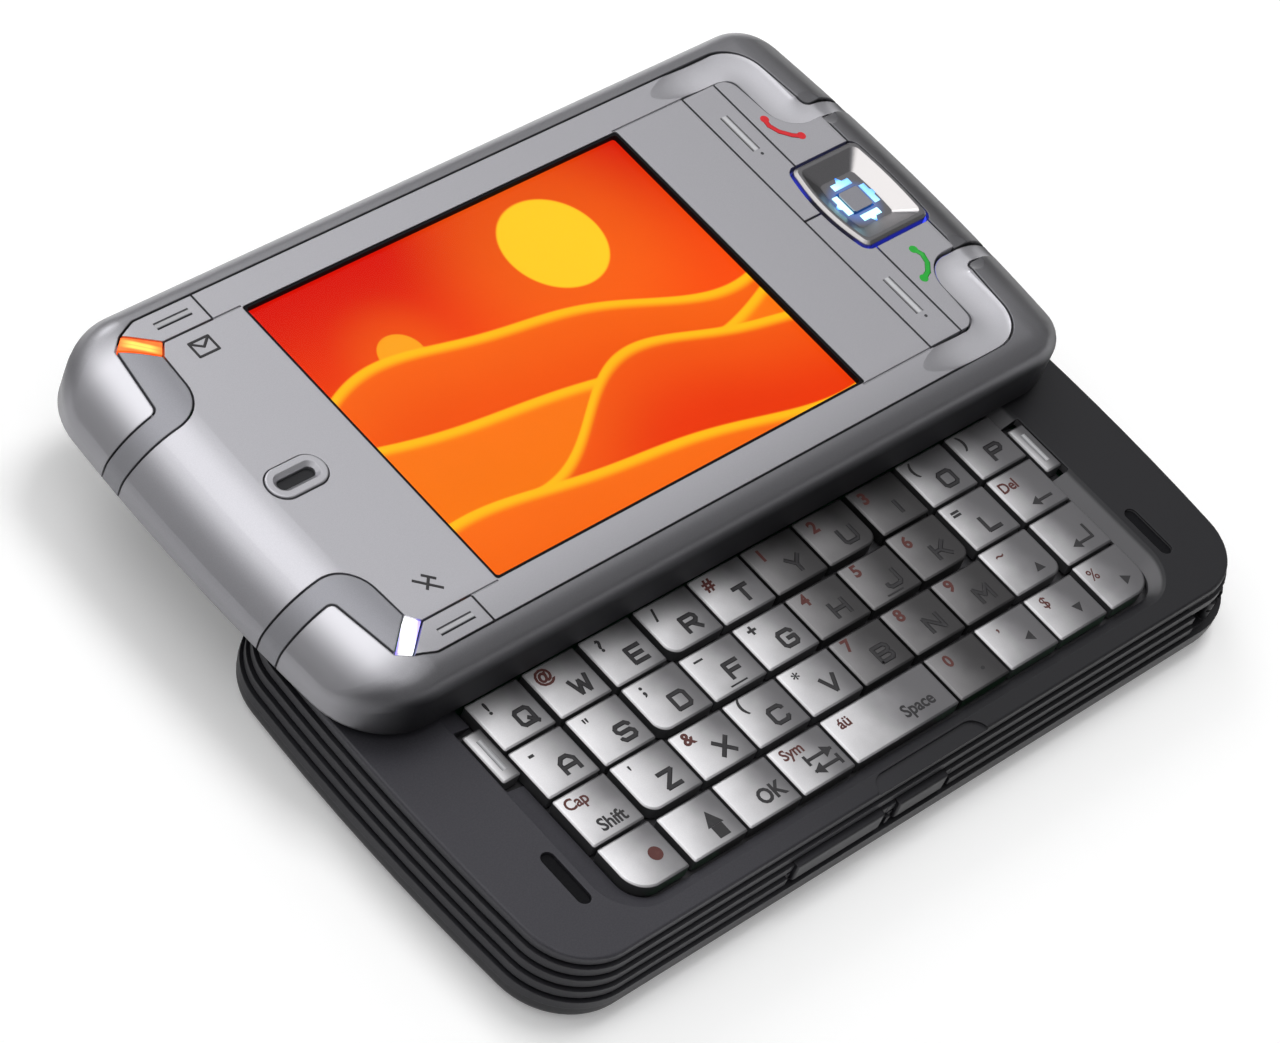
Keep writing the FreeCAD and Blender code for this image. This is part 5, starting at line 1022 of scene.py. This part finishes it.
# the floor glows more away from the object, so that it runs out into the white of the room
away = addNode(tree, "ShaderNodeVectorMath", operation="LENGTH")
tree.links.new(addNode(tree, "ShaderNodeTexCoord").outputs["Object"], away.inputs[0])
spread = stepBetween(tree, away.outputs["Value"], *studio["glowSpread"])
tree.links.new(mixColour(tree, spread, (studio["floorGlow"],) * 3, (studio["farGlow"],) * 3),
               shader.inputs["Emission Color"])
shader.inputs["Emission Strength"].default_value = 1.0
# from below the floor is clear, so that the underside can be looked at
underneath = addNode(tree, "ShaderNodeNewGeometry").outputs["Backfacing"]
clearing = tree.nodes.new("ShaderNodeMixShader")
tree.links.new(underneath, clearing.inputs[0])
tree.links.new(shader.outputs[0], clearing.inputs[1])
tree.links.new(tree.nodes.new("ShaderNodeBsdfTransparent").outputs[0], clearing.inputs[2])
tree.links.new(clearing.outputs[0], tree.nodes["Material Output"].inputs["Surface"])
floor.data.materials.append(material)

world = bpy.data.worlds.new("studio")
bpy.context.scene.world = world
world.use_nodes = True
tree = world.node_tree
background = tree.nodes["Background"]
seen = addNode(tree, "ShaderNodeLightPath")
direction = addNode(tree, "ShaderNodeTexCoord").outputs["Generated"]


def towards(way, low, high, fromLevel, toLevel):
    # a level that changes with the angle from one way in the room
    dot = addNode(tree, "ShaderNodeVectorMath", operation="DOT_PRODUCT")
    dot.inputs[1].default_value = Vector(way).normalized()
    tree.links.new(direction, dot.inputs[0])
    return stepBetween(tree, dot.outputs["Value"], low, high, fromLevel, toLevel)


ceiling = mathNode(tree, "ADD", towards(studio["brightWay"], *studio["brightSpread"]),
                   towards(studio["brightWay"], *studio["glareSpread"]))
parts = addNode(tree, "ShaderNodeSeparateXYZ")
tree.links.new(direction, parts.inputs[0])
lowDown = stepBetween(tree, parts.outputs["Z"], *studio["dimTop"])
dimmed = mathNode(tree, "MULTIPLY", towards(studio["dimWay"], *studio["dimSpread"]), lowDown)
ceiling = mathNode(tree, "MULTIPLY", ceiling, towards((-1, 0, 0), *studio["westSpread"]))
dimSide = mathNode(tree, "SUBTRACT", 1.0, dimmed)
reflected = mathNode(tree, "MULTIPLY", seen.outputs["Is Glossy Ray"], mathNode(tree, "MULTIPLY", ceiling, dimSide))
notGlossy = mathNode(tree, "SUBTRACT", 1.0, seen.outputs["Is Glossy Ray"])
ambient = mathNode(tree, "MULTIPLY_ADD", notGlossy, studio["worldLevel"], reflected)
clear = mathNode(tree, "MAXIMUM", seen.outputs["Is Camera Ray"], seen.outputs["Is Transmission Ray"])
background.inputs["Color"].default_value = (1, 1, 1, 1)
tree.links.new(mathNode(tree, "MAXIMUM", clear, ambient), background.inputs["Strength"])


def softbox(name, place, target, size, power):
    data = bpy.data.lights.new(name, "AREA")
    data.shape = "RECTANGLE"
    data.size, data.size_y = size
    data.energy = power
    lamp = bpy.data.objects.new(name, data)
    bpy.context.scene.collection.objects.link(lamp)
    lamp.location = place
    lamp.rotation_euler = (Vector(target) - Vector(place)).to_track_quat("-Z", "Y").to_euler()
    return lamp


softbox("lamp_overhead", (-0.24, 0.20, 0.65), (-0.02, 0.01, 0), (0.8, 0.8), 1.4)
softbox("lamp_back", (0.25, 1.0, 0.75), (0, 0, 0), (0.6, 0.4), 2.4)
# lays the soft shadow beside the near end, without a glare of its own
softbox("lamp_right", (0.42, 0.22, 1.05), (0, 0, 0), (0.45, 0.45), 5.2).visible_glossy = False

# camera: place and target in mm, roll in degrees
view = dict(place=(-338.43, -167.93, 408.54), target=(-7.23, 14.54, 10.0), roll=24.405, lens=137.03)
cameraData = bpy.data.cameras.new("view")
camera = bpy.data.objects.new("view", cameraData)
bpy.context.scene.collection.objects.link(camera)
bpy.context.scene.camera = camera
place = Vector(view["place"]) * mm
forward = (Vector(view["target"]) * mm - place).normalized()
levelRight = forward.cross(Vector((0, 0, 1))).normalized()
levelUp = levelRight.cross(forward)
roll = math.radians(view["roll"])
right = levelRight * math.cos(roll) + levelUp * math.sin(roll)
up = levelUp * math.cos(roll) - levelRight * math.sin(roll)
camera.matrix_world = Matrix.Translation(place) @ Matrix((right, up, -forward)).transposed().to_4x4()
cameraData.lens = view["lens"]
cameraData.sensor_width = 36
cameraData.clip_start = 0.01
cameraData.clip_end = 20
bpy.context.scene.view_settings.view_transform = "Standard"

print("stage, lights and camera set")
